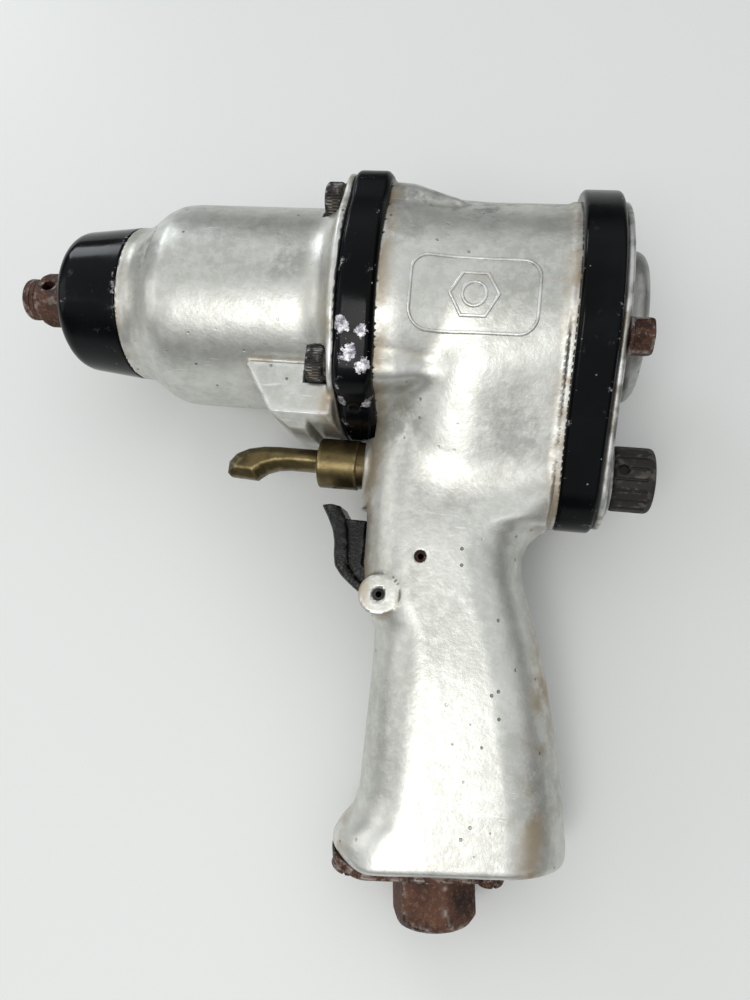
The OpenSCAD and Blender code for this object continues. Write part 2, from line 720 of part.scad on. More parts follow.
// push pin with a round nose, and the disc that closes the throttle
module throttle_valve() lying() color("#9a9da0") {
    turned(concat([for (a = [0 : 15 : 90]) [push_r * sin(a), push_x + push_r * (1 - cos(a))]],
        [[push_r, bush_end], [5.2, bush_end], [5.2, bush_end + disc_t], [0, bush_end + disc_t]]),
        -throttle_y);
}

// a compression spring between the disc and the end of its bore
module throttle_spring() lying() color("#777b7e") {
    wire = 0.45;
    coil_r = 3.6;
    turns = 4;
    steps = 16;
    around = 8;
    start = bush_end + disc_t + wire;
    pitch = (chamber_end - start - wire - 0.05) / turns;
    rings = turns * steps;
    points = [for (i = [0 : rings]) let (a = i * 360 / steps) for (k = [0 : around - 1])
        let (b = k * 360 / around, r = coil_r + wire * cos(b))
        [start + i * pitch / steps + wire * sin(b), -throttle_y + r * cos(a), r * sin(a)]];
    sides = [for (i = [0 : rings - 1]) for (k = [0 : around - 1]) let (n = (k + 1) % around)
        [i * around + k, (i + 1) * around + k, (i + 1) * around + n, i * around + n]];
    ends = [[for (k = [0 : around - 1]) k], [for (k = [around - 1 : -1 : 0]) rings * around + k]];
    polyhedron(points, concat(sides, ends));
}

// ---- grip end and air inlet ----

module bottom_plate() lying() color("#5a3527") difference() {
    bend = [bend_x, -grip_end];
    along_bend = [-cos(bend_angle), sin(bend_angle)];
    out_of_bend = [-sin(bend_angle), -cos(bend_angle)];
    front = bend + 14 * along_bend;
    rise = 8;
    at_end() intersection() {
        translate([0, -grip_end - bottom_t, 0]) rotate([-90, 0, 0]) linear_extrude(bottom_t + rise) union() {
            translate([bottom_screws_x[0] + 3, -plate_half])
                square([bottom_screws_x[1] - bottom_screws_x[0] - 6, 2 * plate_half]);
            translate([bottom_screws_x[0], 0]) circle(4);
            translate([bottom_screws_x[1], 0]) circle(bottom_head_r);
            translate([bottom_screws_x[0] + 3, 0]) circle(5.6);
        }
        translate([0, 0, -plate_half - past]) linear_extrude(2 * (plate_half + past))
            polygon([bend, front, front + bottom_t * out_of_bend,
                bend + bottom_t * [-tan(bend_angle / 2), -1], [165, -grip_end - bottom_t],
                [165, -grip_end]]);
    }
    at_end() {
        upright(inlet_stem_r + seat, inlet_x, grip_end - past, grip_end + bottom_t + past);
        upright(1.6, bottom_screws_x[1], grip_end - past, grip_end + bottom_t + past);
    }
    at_bend() upright(1.6, bottom_screws_x[0], grip_end - past, grip_end + bottom_t + past);
}

module bottom_screw(x) {
    upright(1.25, x, grip_end - 8, grip_end + bottom_t + past / 2);
    upright(bottom_head_r, x, grip_end + bottom_t, grip_end + bottom_t + 4.2);
}

module bottom_screws() lying() color("#4a2e22") {
    at_bend() bottom_screw(bottom_screws_x[0]);
    at_end() bottom_screw(bottom_screws_x[1]);
}

module inlet_bushing() lying() at_end() color("#6a4030") difference() {
    hex_r = inlet_af / sqrt(3);
    top = grip_end + bottom_t;
    union() {
        intersection() {
            translate([inlet_x, 0, 0]) rotate([0, 10, 0]) translate([-inlet_x, 0, 0])
                upright(hex_r, inlet_x, top, inlet_end, 0, 6);
            translate([inlet_x, 0, 0]) rotate([90, 0, 0]) rotate_extrude() polygon([[0, top - past],
                [hex_r + 0.2, top - past], [hex_r + 0.2, inlet_end - 1.6], [hex_r - 1.4, inlet_end],
                [0, inlet_end]]);
        }
        upright(inlet_stem_r, inlet_x, inlet_top, top + past);
    }
    upright(thread_r, inlet_x, inlet_end - thread_len, inlet_end + past);
    upright(4.2, inlet_x, inlet_top - past, inlet_end);
}

module inlet_screen() lying() at_end() color("#9c8450") difference() {
    upright(inlet_stem_r - 0.3, inlet_x, inlet_top - 1.2, inlet_top);
    for (a = [0 : 60 : 300])
        upright(1, inlet_x + 3 * cos(a), inlet_top - 2, inlet_top + past, 3 * sin(a), 24);
}

module exhaust_screen() lying() at_end() color("#1d1b19") difference() {
    upright(5.4, exhaust_x, grip_end, grip_end + 1.6);
    for (a = [0 : 60 : 300])
        upright(0.8, exhaust_x + 2.9 * cos(a), grip_end - past, grip_end + 3, 2.9 * sin(a), 24);
}

anvil();
friction_ring();
nose_ring();
nose_seal();
hammer_case();
anvil_bush();
hammer_cage();
front_hammer();
rear_hammer();
hammer_pins();
front_band();
front_bolts();
front_end_plate();
front_bearing();
rotor();
rotor_vanes();
motor_cylinder();
rear_end_plate();
rear_bearing();
clamp_ring();
motor_housing();
side_badge();
rear_band();
rear_gasket();
rear_cover();
rear_hex_bolts();
rear_top_bolt();
regulator_knob();
knob_screw();
regulator_spindle();
reverse_lever();
lever_pin();
lever_washer();
reverse_valve();
trigger();
trigger_pin();
throttle_pin();
throttle_bush();
throttle_valve();
throttle_spring();
bottom_plate();
bottom_screws();
inlet_bushing();
inlet_screen();
exhaust_screen();
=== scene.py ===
# The looks of a pistol-grip air impact wrench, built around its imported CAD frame.
# Shapes are signed distance fields in the tool's own axes, in millimetres: x runs back along the
# drive axis, y up away from the grip, z out of the left side. They are meshed, then rolled over into
# the frame, where the tool lies on its right side, and scaled to metres.
import json
import math

import bpy
import numpy as np
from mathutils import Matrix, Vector


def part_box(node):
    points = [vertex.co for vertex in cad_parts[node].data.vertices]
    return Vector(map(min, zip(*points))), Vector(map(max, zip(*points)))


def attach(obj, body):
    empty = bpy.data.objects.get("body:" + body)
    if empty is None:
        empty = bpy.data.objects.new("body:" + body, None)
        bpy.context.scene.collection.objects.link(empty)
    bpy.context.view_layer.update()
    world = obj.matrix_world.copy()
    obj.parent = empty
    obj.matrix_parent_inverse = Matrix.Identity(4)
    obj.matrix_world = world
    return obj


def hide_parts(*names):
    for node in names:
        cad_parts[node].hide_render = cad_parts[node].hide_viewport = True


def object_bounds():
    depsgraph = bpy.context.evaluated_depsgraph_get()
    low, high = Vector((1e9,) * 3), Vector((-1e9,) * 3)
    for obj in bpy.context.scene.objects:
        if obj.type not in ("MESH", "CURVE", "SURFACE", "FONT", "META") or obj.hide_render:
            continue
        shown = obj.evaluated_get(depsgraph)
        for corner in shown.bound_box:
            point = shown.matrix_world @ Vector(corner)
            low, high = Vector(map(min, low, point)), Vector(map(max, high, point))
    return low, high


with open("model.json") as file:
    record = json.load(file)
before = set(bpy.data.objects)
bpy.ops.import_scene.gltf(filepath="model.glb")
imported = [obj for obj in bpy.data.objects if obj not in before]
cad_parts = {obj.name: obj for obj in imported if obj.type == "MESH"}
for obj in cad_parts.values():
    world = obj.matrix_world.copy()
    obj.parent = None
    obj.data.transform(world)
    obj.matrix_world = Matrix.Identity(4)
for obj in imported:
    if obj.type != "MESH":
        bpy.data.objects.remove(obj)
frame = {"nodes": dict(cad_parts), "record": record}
cad_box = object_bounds()

MM = 0.001


def tool_roll(record):
    """The roll about the drive axis, from the way that the air inlet points."""
    inlet = next(m for m in record["mounts"] if m["name"] == "air_inlet")
    return math.atan2(-inlet["axis"][2], -inlet["axis"][1])


ROLL = tool_roll(frame["record"])
COS, SIN = math.cos(ROLL), math.sin(ROLL)


def rolled(points):
    """Points or directions in the tool's axes, turned into the frame's."""
    x, y, z = np.asarray(points, float).T
    return np.column_stack([x, y * COS - z * SIN, y * SIN + z * COS])


def spot(x, y, z):
    """A place on the tool, in metres in the frame."""
    return Vector(rolled([[x, y, z]])[0]) * MM


def span(name):
    """Where a CAD node starts and ends along the drive axis, in millimetres."""
    low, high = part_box(name)
    return low.x / MM, high.x / MM


# ---- distance fields ----


def circle(u, v, r):
    return np.hypot(u, v) - r


def slab(t, start, end):
    return np.abs(t - (start + end) / 2) - (end - start) / 2


def join(a, b, fillet=0.01):
    """Both shapes, with a fillet where they meet."""
    near = np.maximum(fillet - np.abs(a - b), 0) / fillet
    return np.minimum(a, b) - near * near * fillet / 4


def meet(a, b, fillet=0.01):
    """What both shapes hold, with a rounded edge."""
    return -join(-a, -b, fillet)


def cut(a, b, fillet=0.01):
    """The first shape without the second."""
    return -join(-a, b, fillet)


def turned(u, v, angle):
    """Places along axes that are turned by an angle in radians."""
    c, s = math.cos(angle), math.sin(angle)
    return u * c + v * s, v * c - u * s


def hexagon(u, v, across, degrees=0.0):
    """A hexagon by its width across flats, turned by an angle."""
    flats = [math.radians(degrees + a) for a in (0, 60, -60)]
    return np.max([np.abs(u * math.cos(a) + v * math.sin(a)) for a in flats], axis=0) - across / 2


def box(u, v, half_u, half_v, r=0.0):
    """A rectangle with corners rounded by r."""
    du, dv = np.abs(u) - half_u + r, np.abs(v) - half_v + r
    outside = np.hypot(np.maximum(du, 0), np.maximum(dv, 0))
    return outside + np.minimum(np.maximum(du, dv), 0) - r


def solid(section, length, r=0.0):
    """A section carried along a length, with its end edges rounded by r."""
    a, b = section + r, length + r
    outside = np.hypot(np.maximum(a, 0), np.maximum(b, 0))
    return outside + np.minimum(np.maximum(a, b), 0) - r


def beveled(section, length, bevel):
    """A section carried along a length, with its end edges cut at 45 degrees."""
    slope = (section + length + bevel) / math.sqrt(2)
    return meet(np.maximum(section, length), slope, 0.5)


def polygon(u, v, points):
    """Exact distance to a polygon."""
    nearest, sign = np.inf, 1.0
    for (ax, ay), (bx, by) in zip(points, points[1:] + points[:1]):
        ex, ey = bx - ax, by - ay
        wx, wy = u - ax, v - ay
        t = np.clip((wx * ex + wy * ey) / (ex * ex + ey * ey), 0, 1)
        nearest = np.minimum(nearest, (wx - ex * t) ** 2 + (wy - ey * t) ** 2)
        above, below = wy >= 0, v < by
        side = ex * wy > ey * wx
        crossed = (above & below & side) | (~above & ~below & ~side)
        sign = np.where(crossed, -sign, sign)
    return sign * np.sqrt(nearest)


def egg(y, z, r, toe):
    """A circle round the drive axis, a smaller one below it, and the sides that join them."""
    toe_r, drop = toe
    u, v = np.abs(z), -y
    b = (r - toe_r) / drop
    a = math.sqrt(1 - b * b)
    along = -b * u + a * v
    straight = u * a + v * b - r
    return np.where(along < 0, np.hypot(u, v) - r,
                    np.where(along > a * drop, np.hypot(u, v - drop) - toe_r, straight))


def profile(t, points, blur=2.0):
    """A value that runs through the points, with its corners smoothed over blur each way."""
    places, values = zip(*points)
    taps = np.linspace(-1, 1, 13)
    weights = 1 + np.cos(math.pi * taps)
    total = sum(w * np.interp(t + blur * o, places, values) for w, o in zip(weights, taps))
    return total / weights.sum()


def rod(x, y, z, r, start, end, at=(0.0, 0.0), rounding=0.0):
    """A rod along x."""
    return solid(circle(y - at[0], z - at[1], r), slab(x, start, end), rounding)


def pin(x, y, z, r, at, half, rounding=0.0):
    """A rod across the tool."""
    return solid(circle(x - at[0], y - at[1], r), slab(z, -half, half), rounding)


def upright(x, y, z, r, at_x, top, bottom, rounding=0.0):
    """A rod down the tool's y axis, between two heights."""
    return solid(circle(x - at_x, z, r), slab(y, bottom, top), rounding)


def drilled(shape, x, y, z, r, start, end, places, fillet=0.01):
    """A shape with round holes along x at some places."""
    for place in places:
        shape = cut(shape, rod(x, y, z, r, start, end, place), fillet)
    return shape


# ---- meshing ----

PROBE = 0.02
EDGE_PROBE = 0.8


def surface_net(field, low, pitch):
    """Vertices and quads of the surface where the field is zero."""
    cells = tuple(n - 1 for n in field.shape)
    total = np.zeros((np.prod(cells), 3))
    count = np.zeros(np.prod(cells))
    quads = []
    for axis in range(3):
        order = [axis] + [a for a in range(3) if a != axis]
        turned = np.moveaxis(field, axis, 0)
        i, j, k = np.nonzero((turned[:-1] < 0) != (turned[1:] < 0))
        here, there = turned[i, j, k], turned[i + 1, j, k]
        crossing = np.empty((len(i), 3))
        for column, value in zip(order, (i + here / (here - there), j, k)):
            crossing[:, column] = value
        corners = []
        for dj, dk in ((-1, -1), (0, -1), (0, 0), (-1, 0)):
            cell = [None] * 3
            for column, value in zip(order, (i, j + dj, k + dk)):
                cell[column] = value
            flat = np.ravel_multi_index(cell, cells)
            corners.append(flat)
            count += np.bincount(flat, minlength=len(count))
            for column in range(3):
                total[:, column] += np.bincount(flat, crossing[:, column], len(count))
        faces = np.column_stack(corners)
        flip = (here < 0) == (axis == 1)
        faces[flip] = faces[flip][:, ::-1]
        quads.append(faces)
    used = count > 0
    number = np.cumsum(used) - 1
    return low + pitch * total[used] / count[used][:, None], number[np.vstack(quads)]


def gradient(shape, points, step):
    """The field's value, slope and Laplacian at each point."""
    middle = shape(*points.T)
    slope = np.empty_like(points)
    bend = np.zeros(len(points))
    for axis in range(3):
        ahead, behind = points.copy(), points.copy()
        ahead[:, axis] += step
        behind[:, axis] -= step
        a, b = shape(*ahead.T), shape(*behind.T)
        slope[:, axis] = (a - b) / (2 * step)
        bend += (a + b - 2 * middle) / step**2
    return middle, slope, bend


def settled(shape, points, pitch):
    """The points moved onto the true surface, with the surface's normals there."""
    start = points.copy()
    for _ in range(3):
        value, slope, _ = gradient(shape, points, PROBE)
        steep = np.maximum((slope**2).sum(1), 0.25)
        points = points - slope * (value / steep)[:, None]
        move = points - start
        far = np.linalg.norm(move, axis=1) / (0.9 * pitch)
        points = start + move / np.maximum(far, 1)[:, None]
    slope = gradient(shape, points, PROBE)[1]
    return points, slope / np.maximum(np.linalg.norm(slope, axis=1), 1e-6)[:, None]


def meshed(name, shape, low, high, pitch):
    """A new object with the shape's surface, and how convex and how hollow it is at each vertex."""
    axes = [np.arange(a - 2.5 * pitch, b + 3.5 * pitch, pitch) for a, b in zip(low, high)]
    field = np.array(np.broadcast_to(shape(*np.ix_(*axes)), [len(a) for a in axes]))
    start = np.array([a[0] for a in axes])
    points, quads = surface_net(field, start, pitch)
    points, normals = settled(shape, points, pitch)
    bend = gradient(shape, points, EDGE_PROBE)[2]
    mesh = bpy.data.meshes.new(name)
    mesh.from_pydata((rolled(points) * MM).tolist(), [], quads.tolist())
    for label, value in (("edge", bend / 0.8), ("hollow", -bend / 0.5)):
        data = mesh.attributes.new(label, "FLOAT", "POINT").data
        data.foreach_set("value", np.clip(value, 0, 1).astype(np.float32))
    mesh.shade_smooth()
    mesh.normals_split_custom_set_from_vertices(rolled(normals).tolist())
    made = bpy.data.objects.new(name, mesh)
    bpy.context.scene.collection.objects.link(made)
    return made


def moved(source, name, dy, dz):
    """The same surface again, moved across the drive axis by dy and dz in the tool's axes."""
    made = bpy.data.objects.new(name, source.data.copy())
    made.location = Vector(rolled([[0, dy, dz]])[0]) * MM
    bpy.context.scene.collection.objects.link(made)
    return made


def belongs(made, body, slot, material, *nodes):
    """Puts a finished piece on its body, in place of its CAD nodes."""
    made.data.materials.clear()
    made.data.materials.append(material)
    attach(made, body)
    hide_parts(*nodes)
    return made


# ---- shading nodes ----


class Finish:
    """A material whose nodes are added one call at a time. Places are object coordinates in metres."""

    def __init__(self, name, **settings):
        self.material = bpy.data.materials.new(name)
        self.material.use_nodes = True
        self.tree = self.material.node_tree
        self.surface = self.tree.nodes["Principled BSDF"]
        self.place = self.tree.nodes.new("ShaderNodeTexCoord").outputs["Object"]
        self.set(**settings)

    def link(self, value, socket):
        if isinstance(value, bpy.types.NodeSocket):
            self.tree.links.new(value, socket)
        else:
            socket.default_value = value

    def set(self, **settings):
        """Sets inputs of the surface; an underscore in a name stands for a space."""
        for key, value in settings.items():
            self.link(value, self.surface.inputs[key.replace("_", " ")])

    def node(self, kind, *inputs, **named):
        made = self.tree.nodes.new("ShaderNode" + kind)
        for key in [k for k in named if hasattr(made, k)]:
            setattr(made, key, named.pop(key))
        for i, value in enumerate(inputs):
            self.link(value, made.inputs[i])
        for key, value in named.items():
            self.link(value, made.inputs[key])
        return made

    def math(self, operation, a, b=0.0):
        return self.node("Math", a, b, operation=operation).outputs[0]

    def times(self, *values):
        result = values[0]
        for value in values[1:]:
            result = self.math("MULTIPLY", result, value)
        return result

    def most(self, *values):
        result = values[0]
        for value in values[1:]:
            result = self.math("MAXIMUM", result, value)
        return result

    def stretched(self, sx, sy, sz, angle=0.0):
        return self.node("Mapping", Vector=self.place, Scale=(sx, sy, sz),
                         Rotation=(0, 0, math.radians(angle))).outputs[0]

    def noise(self, size, detail=4.0, rough=0.55, place=None):
        """Noise from 0 to 1 with patches about size millimetres across."""
        return self.node("TexNoise", Vector=place or self.place, Scale=0.5 / (size * MM), Detail=detail,
                         Roughness=rough).outputs["Fac"]

    def cells(self, size, randomness=1.0, feature="F1", place=None):
        """Distance to the nearest of points about size millimetres apart, as a share of that."""
        return self.node("TexVoronoi", Vector=place or self.place, Scale=1 / (size * MM),
                         Randomness=randomness, feature=feature).outputs["Distance"]

    def step(self, value, low, high, start=0.0, end=1.0):
        """start below low, end above high, and smooth in between."""
        made = self.node("MapRange", interpolation_type="SMOOTHSTEP")
        for key, given in (("Value", value), ("From Min", low), ("From Max", high), ("To Min", start),
                           ("To Max", end)):
            self.link(given, made.inputs[key])
        return made.outputs["Result"]

    def patches(self, size, low, high, detail=4.0, rough=0.55):
        """Noise with its values below low made 0 and its values above high made 1."""
        return self.step(self.noise(size, detail, rough), low, high)

    def mix(self, share, a, b):
        made = self.node("Mix", data_type="RGBA", blend_type="MIX")
        for key, value in (("Factor", share), ("A", a), ("B", b)):
            sockets = [s for s in made.inputs if s.name == key and s.enabled]
            if not isinstance(value, bpy.types.NodeSocket) and key != "Factor":
                value = (*value, 1.0)
            self.link(value, sockets[0])
        return next(s for s in made.outputs if s.enabled)

    def near(self, place, radius, soft=0.6):
        """1 within radius millimetres of a place on the tool, fading to 0 over the outer part."""
        gap = self.node("VectorMath", self.place, place, operation="DISTANCE").outputs["Value"]
        return self.step(gap, radius * (1 - soft) * MM, radius * MM, 1.0, 0.0)

    def along(self):
        """The place along the drive axis, in millimetres."""
        return self.math("DIVIDE", self.node("SeparateXYZ", self.place).outputs[0], MM)

    def attribute(self, name):
        return self.node("Attribute", attribute_name=name).outputs["Fac"]

    def bump(self, height, depth, below=None):
        """Raises the surface by depth millimetres where height is 1."""
        made = self.node("Bump", Height=height, Distance=depth * MM, Strength=1.0)
        if below is not None:
            self.link(below, made.inputs["Normal"])
        return made.outputs["Normal"]


def cast_aluminium(name, marks=(), bands=(), light=1.0):
    """Satin cast aluminium: fine grain, small pits, grey stains at marks and grime along bands.
    marks are (place, radius, strength); bands are (place along the axis, reach)."""
    f = Finish(name, Metallic=0.8)
    cloud = f.noise(28, 5, 0.6)
    fine = f.noise(1.1, 3, 0.6)
    speckle = f.noise(0.45, 2, 0.5)
    patch = f.patches(9, 0.46, 0.62, 6, 0.65)
    # light scales every tone: below 1 it is painted shade, above 1 painted light.
    dull, plain, dark, bright = ([c * light for c in tone] for tone in (
        (0.42, 0.42, 0.38), (0.61, 0.61, 0.57), (0.40, 0.40, 0.37), (0.80, 0.80, 0.77)))
    colour = f.mix(f.step(cloud, 0.35, 0.65), dull, plain)
    colour = f.mix(f.times(patch, 0.4), colour, dark)
    mottle = f.patches(1.6, 0.42, 0.62, 5, 0.75)
    colour = f.mix(f.times(mottle, 0.30), colour, bright)
    stain = 0.0
    for place, radius, strength in marks:
        mark = f.times(f.near(place, radius), strength, f.patches(4, 0.42, 0.6, 6, 0.7))
        stain = f.most(stain, mark)
    colour = f.mix(stain, colour, (0.20, 0.20, 0.185))
    x = f.along()
    grime = f.times(f.attribute("hollow"), 0.5)
    for at, reach in bands:
        gap = f.math("ABSOLUTE", f.math("SUBTRACT", x, at))
        grime = f.most(grime, f.step(gap, 0.0, reach, 0.75, 0.0))
    grime = f.times(grime, f.patches(5, 0.38, 0.6, 6, 0.65))
    colour = f.mix(grime, colour, (0.36, 0.27, 0.16))
    worn = f.times(f.attribute("edge"), f.patches(3, 0.4, 0.6))
    colour = f.mix(f.times(worn, 0.6), colour, (0.86, 0.86, 0.85))
    dot = f.times(f.step(f.cells(4.2), 0.07, 0.12, 1.0, 0.0), f.patches(14, 0.5, 0.6, 2))
    colour = f.mix(f.times(dot, 0.8), colour, (0.13, 0.12, 0.11))
    scratch = f.step(f.noise(3.2, 2, 0.5, f.stretched(1, 14, 14, 24)), 0.66, 0.72)
    scratch = f.times(scratch, f.patches(18, 0.5, 0.62, 2))
    colour = f.mix(f.times(scratch, 0.5), colour, (0.9, 0.9, 0.9))
    rough = f.math("ADD", 0.29, f.times(fine, 0.16))
    rough = f.math("ADD", rough, f.times(f.most(grime, stain), 0.25))
    height = f.math("ADD", f.times(fine, 0.6), f.times(speckle, 0.4))
    height = f.math("SUBTRACT", height, f.times(dot, 2.0))
    normal = f.bump(height, 0.08)
    normal = f.bump(cloud, 0.5, normal)
    f.set(Base_Color=colour, Roughness=rough, Normal=normal)
    return f.material


def black_enamel(name, chips=(), stamp=None):
    """Glossy black enamel with dust, hairline scratches, and chips to bright metal at places."""
    f = Finish(name, Specular_IOR_Level=0.11)
    dust = f.times(f.step(f.cells(3.4), 0.05, 0.08, 1.0, 0.0), f.patches(6, 0.52, 0.6, 2))
    haze = f.patches(11, 0.4, 0.7, 5, 0.6)
    worn = f.times(f.attribute("edge"), f.patches(2.2, 0.6, 0.66, 5, 0.7))
    chip = f.times(worn, 0.7)
    for place, radius in chips:
        ragged = f.times(f.math("SUBTRACT", f.noise(1.5, 5, 0.75), 0.5), 2.6)
        blob = f.math("ADD", f.near(place, radius, 1.0), ragged)
        reach = f.step(f.near(place, radius * 1.3), 0.1, 0.3)
        chip = f.most(chip, f.times(f.step(blob, 0.42, 0.5), reach))
    colour = f.mix(haze, (0.0012, 0.0014, 0.0018), (0.0035, 0.004, 0.005))
    colour = f.mix(f.times(dust, 0.55), colour, (0.5, 0.5, 0.48))
    grey = f.mix(f.patches(0.9, 0.38, 0.62, 4, 0.7), (0.16, 0.15, 0.18), (0.86, 0.85, 0.88))
    colour = f.mix(chip, colour, grey)
    rough = f.math("ADD", 0.13, f.times(haze, 0.12))
    rough = f.math("ADD", rough, f.times(f.most(dust, chip), 0.35))
    height = f.math("ADD", f.times(f.noise(5, 3), 1.0), f.times(f.noise(0.7, 2), 0.08))
    height = f.math("SUBTRACT", height, f.times(chip, 0.7))
    if stamp:
        gap = f.node("VectorMath", f.place, stamp, operation="DISTANCE").outputs["Value"]
        ring = f.step(f.math("ABSOLUTE", f.math("SUBTRACT", gap, 1.9 * MM)), 0.0, 0.5 * MM, 1.0, 0.0)
        height = f.math("ADD", height, f.times(ring, 1.5))
    f.set(Base_Color=colour, Roughness=rough, Metallic=f.times(chip, 0.7), Normal=f.bump(height, 0.06))
    return f.material


def rusted_steel(name, dark=(0.03, 0.017, 0.013), red=(0.115, 0.05, 0.03)):
    """Steel with a skin of brown rust, darker patches and bare edges."""
    f = Finish(name)
    patch = f.patches(4.5, 0.38, 0.62, 6, 0.65)
    grit = f.noise(0.5, 4, 0.7)
    colour = f.mix(patch, dark, red)
    colour = f.mix(f.times(f.step(grit, 0.5, 0.7), 0.6), colour, (0.30, 0.15, 0.085))
    bare = f.times(f.attribute("edge"), f.patches(1.6, 0.46, 0.6, 4, 0.7))
    colour = f.mix(f.times(bare, 0.7), colour, (0.36, 0.32, 0.29))
    rough = f.math("SUBTRACT", f.math("ADD", 0.52, f.times(patch, 0.25)), f.times(bare, 0.2))
    height = f.math("ADD", grit, f.times(f.noise(1.6, 5, 0.7), 1.4))
    f.set(Base_Color=colour, Roughness=rough, Metallic=f.math("SUBTRACT", 0.75, f.times(patch, 0.5)),
          Normal=f.bump(height, 0.12))
    return f.material


def black_oxide_steel(name):
    """Blackened steel, dusty in its hollows and rubbed on its edges."""
    f = Finish(name, Metallic=0.8)
    patch = f.noise(3, 5, 0.65)
    colour = f.mix(f.step(patch, 0.4, 0.65), (0.018, 0.017, 0.017), (0.06, 0.055, 0.05))
    colour = f.mix(f.times(f.attribute("hollow"), f.patches(1.2, 0.42, 0.6)), colour,
                   (0.20, 0.165, 0.12))
    colour = f.mix(f.times(f.attribute("edge"), f.patches(1.0, 0.5, 0.65), 0.8), colour,
                   (0.34, 0.33, 0.32))
    f.set(Base_Color=colour, Roughness=f.math("ADD", 0.36, f.times(patch, 0.25)),
          Normal=f.bump(f.noise(0.5, 4, 0.7), 0.05))
    return f.material


def aged_brass(name):
    """Brass gone brown, with greenish grime in hollows and yellow where it is rubbed."""
    f = Finish(name, Metallic=0.85)
    patch = f.patches(6, 0.36, 0.64, 6, 0.65)
    colour = f.mix(patch, (0.055, 0.041, 0.018), (0.14, 0.106, 0.046))
    colour = f.mix(f.times(f.attribute("hollow"), 0.8), colour, (0.05, 0.042, 0.025))
    rub = f.times(f.attribute("edge"), f.patches(2, 0.4, 0.6))
    colour = f.mix(f.times(rub, 0.5), colour, (0.36, 0.29, 0.14))
    spots = f.patches(0.9, 0.56, 0.68, 5, 0.75)
    colour = f.mix(f.times(spots, 0.6), colour, (0.06, 0.042, 0.024))
    f.set(Base_Color=colour, Roughness=f.math("ADD", 0.34, f.times(spots, 0.22)),
          Normal=f.bump(f.noise(0.7, 4, 0.7), 0.05))
    return f.material


def moulded_plastic(name, colour, pale, gloss, grain):
    """Moulded plastic with a stippled face and pale dust in its texture."""
    f = Finish(name, Specular_IOR_Level=0.3)
    pattern = f.noise(grain, 3, 0.6)
    dusty = f.times(f.patches(5, 0.48, 0.66, 5, 0.65), f.step(pattern, 0.5, 0.66))
    tone = f.mix(f.times(dusty, 0.5), colour, pale)
    tone = f.mix(f.times(f.attribute("edge"), f.patches(1.4, 0.5, 0.64), 0.35), tone, pale)
    f.set(Base_Color=tone, Roughness=f.math("ADD", gloss, f.times(pattern, 0.22)),
          Normal=f.bump(pattern, 0.10))
    return f.material


def turned_metal(name, colour, rough=0.3):
    """Machined metal with fine turning marks round the drive axis and a trace of oil."""
    f = Finish(name, Metallic=1.0)
    marks = f.noise(0.3, 2, 0.5, f.stretched(1, 0.02, 0.02))
    oil = f.patches(9, 0.4, 0.65)
    tone = f.mix(f.times(oil, 0.4), colour, [c * 0.55 for c in colour])
    f.set(Base_Color=tone, Roughness=f.math("ADD", rough, f.times(marks, 0.15)),
          Normal=f.bump(marks, 0.02))
    return f.material


def soft_black(name, colour=(0.02, 0.019, 0.018)):
    """Rubber or vane composite: dark, matt and slightly grained."""
    f = Finish(name)
    grain = f.noise(0.6, 4)
    f.set(Base_Color=f.mix(f.noise(5, 4), colour, [c * 2 for c in colour]),
          Roughness=f.math("ADD", 0.55, f.times(grain, 0.2)), Normal=f.bump(grain, 0.05))
    return f.material


# ---- where things are, in millimetres ----

RING_START, RING_END = span("nose_ring")
BAND_START, BAND_END = span("front_band")
REAR_START, REAR_END = span("rear_band")
COVER_START, HUB_END = span("rear_cover")
LEVER_TIP, LEVER_END = span("reverse_lever")
KNOB_START, KNOB_END = span("regulator_knob")
LIP = BAND_START - 1.5
COVER_END = COVER_START + 1.9
BAND_R = 36.99
REAR_R = 35.3
COVER_R = 32.6
CASE_R = 28.9
NECK_R = 22.2
BARREL_R = 31.6
MOTOR_BORE = 24.5
GRIP_HALF = 16.0
GRIP_END = -145.3
END_SLANT = math.radians(6.8)
BEND_X = 121.5
BEND = math.radians(26)
NECK_FRONT = 110.8
ANVIL_TURN = math.radians(-23.5)
KNOB_TURN = math.radians(-7)
FRONT_BOLT_HOLE = 3.05
REAR_BOLT_HOLE = 2.55
SPINDLE_HOLE = 3.05
PIN_HOLE = 1.55
REVERSE = (-44.2, 0.0)
REGULATOR = (-42.2, 0.0)
THROTTLE = (-64.5, 0.0)
PIVOT = (119.3, -79.6)
SECOND_PIN = (129.1, -69.0)
INLET_X = 138.6
INLET_END = -160.0
PLATE_T = 2.0
EXHAUST_X = 162.2


def round_about(radius, degrees):
    """Places at a radius round the drive axis, at angles from the top, as (y, z)."""
    return [(radius * math.cos(math.radians(a)), radius * math.sin(math.radians(a))) for a in degrees]


def end_frame(x, y):
    """Places as the pieces at the grip's end see them, without its slant about the inlet."""
    u, v = turned(x - INLET_X, y - GRIP_END, END_SLANT)
    return INLET_X + u, GRIP_END + v


def bend_frame(x, y):
    """Places as the pieces on the part that bends up at the front of the grip's end see them."""
    x, y = end_frame(x, y)
    u, v = turned(x - BEND_X, y - GRIP_END, -BEND)
    return BEND_X + u, GRIP_END + v


FRONT_BOLTS = round_about(32.0, (45, 135, 225, 315))
REAR_BOLTS = round_about(29.0, (0, 115, -115))


# ---- shapes of the nose and hammer case ----


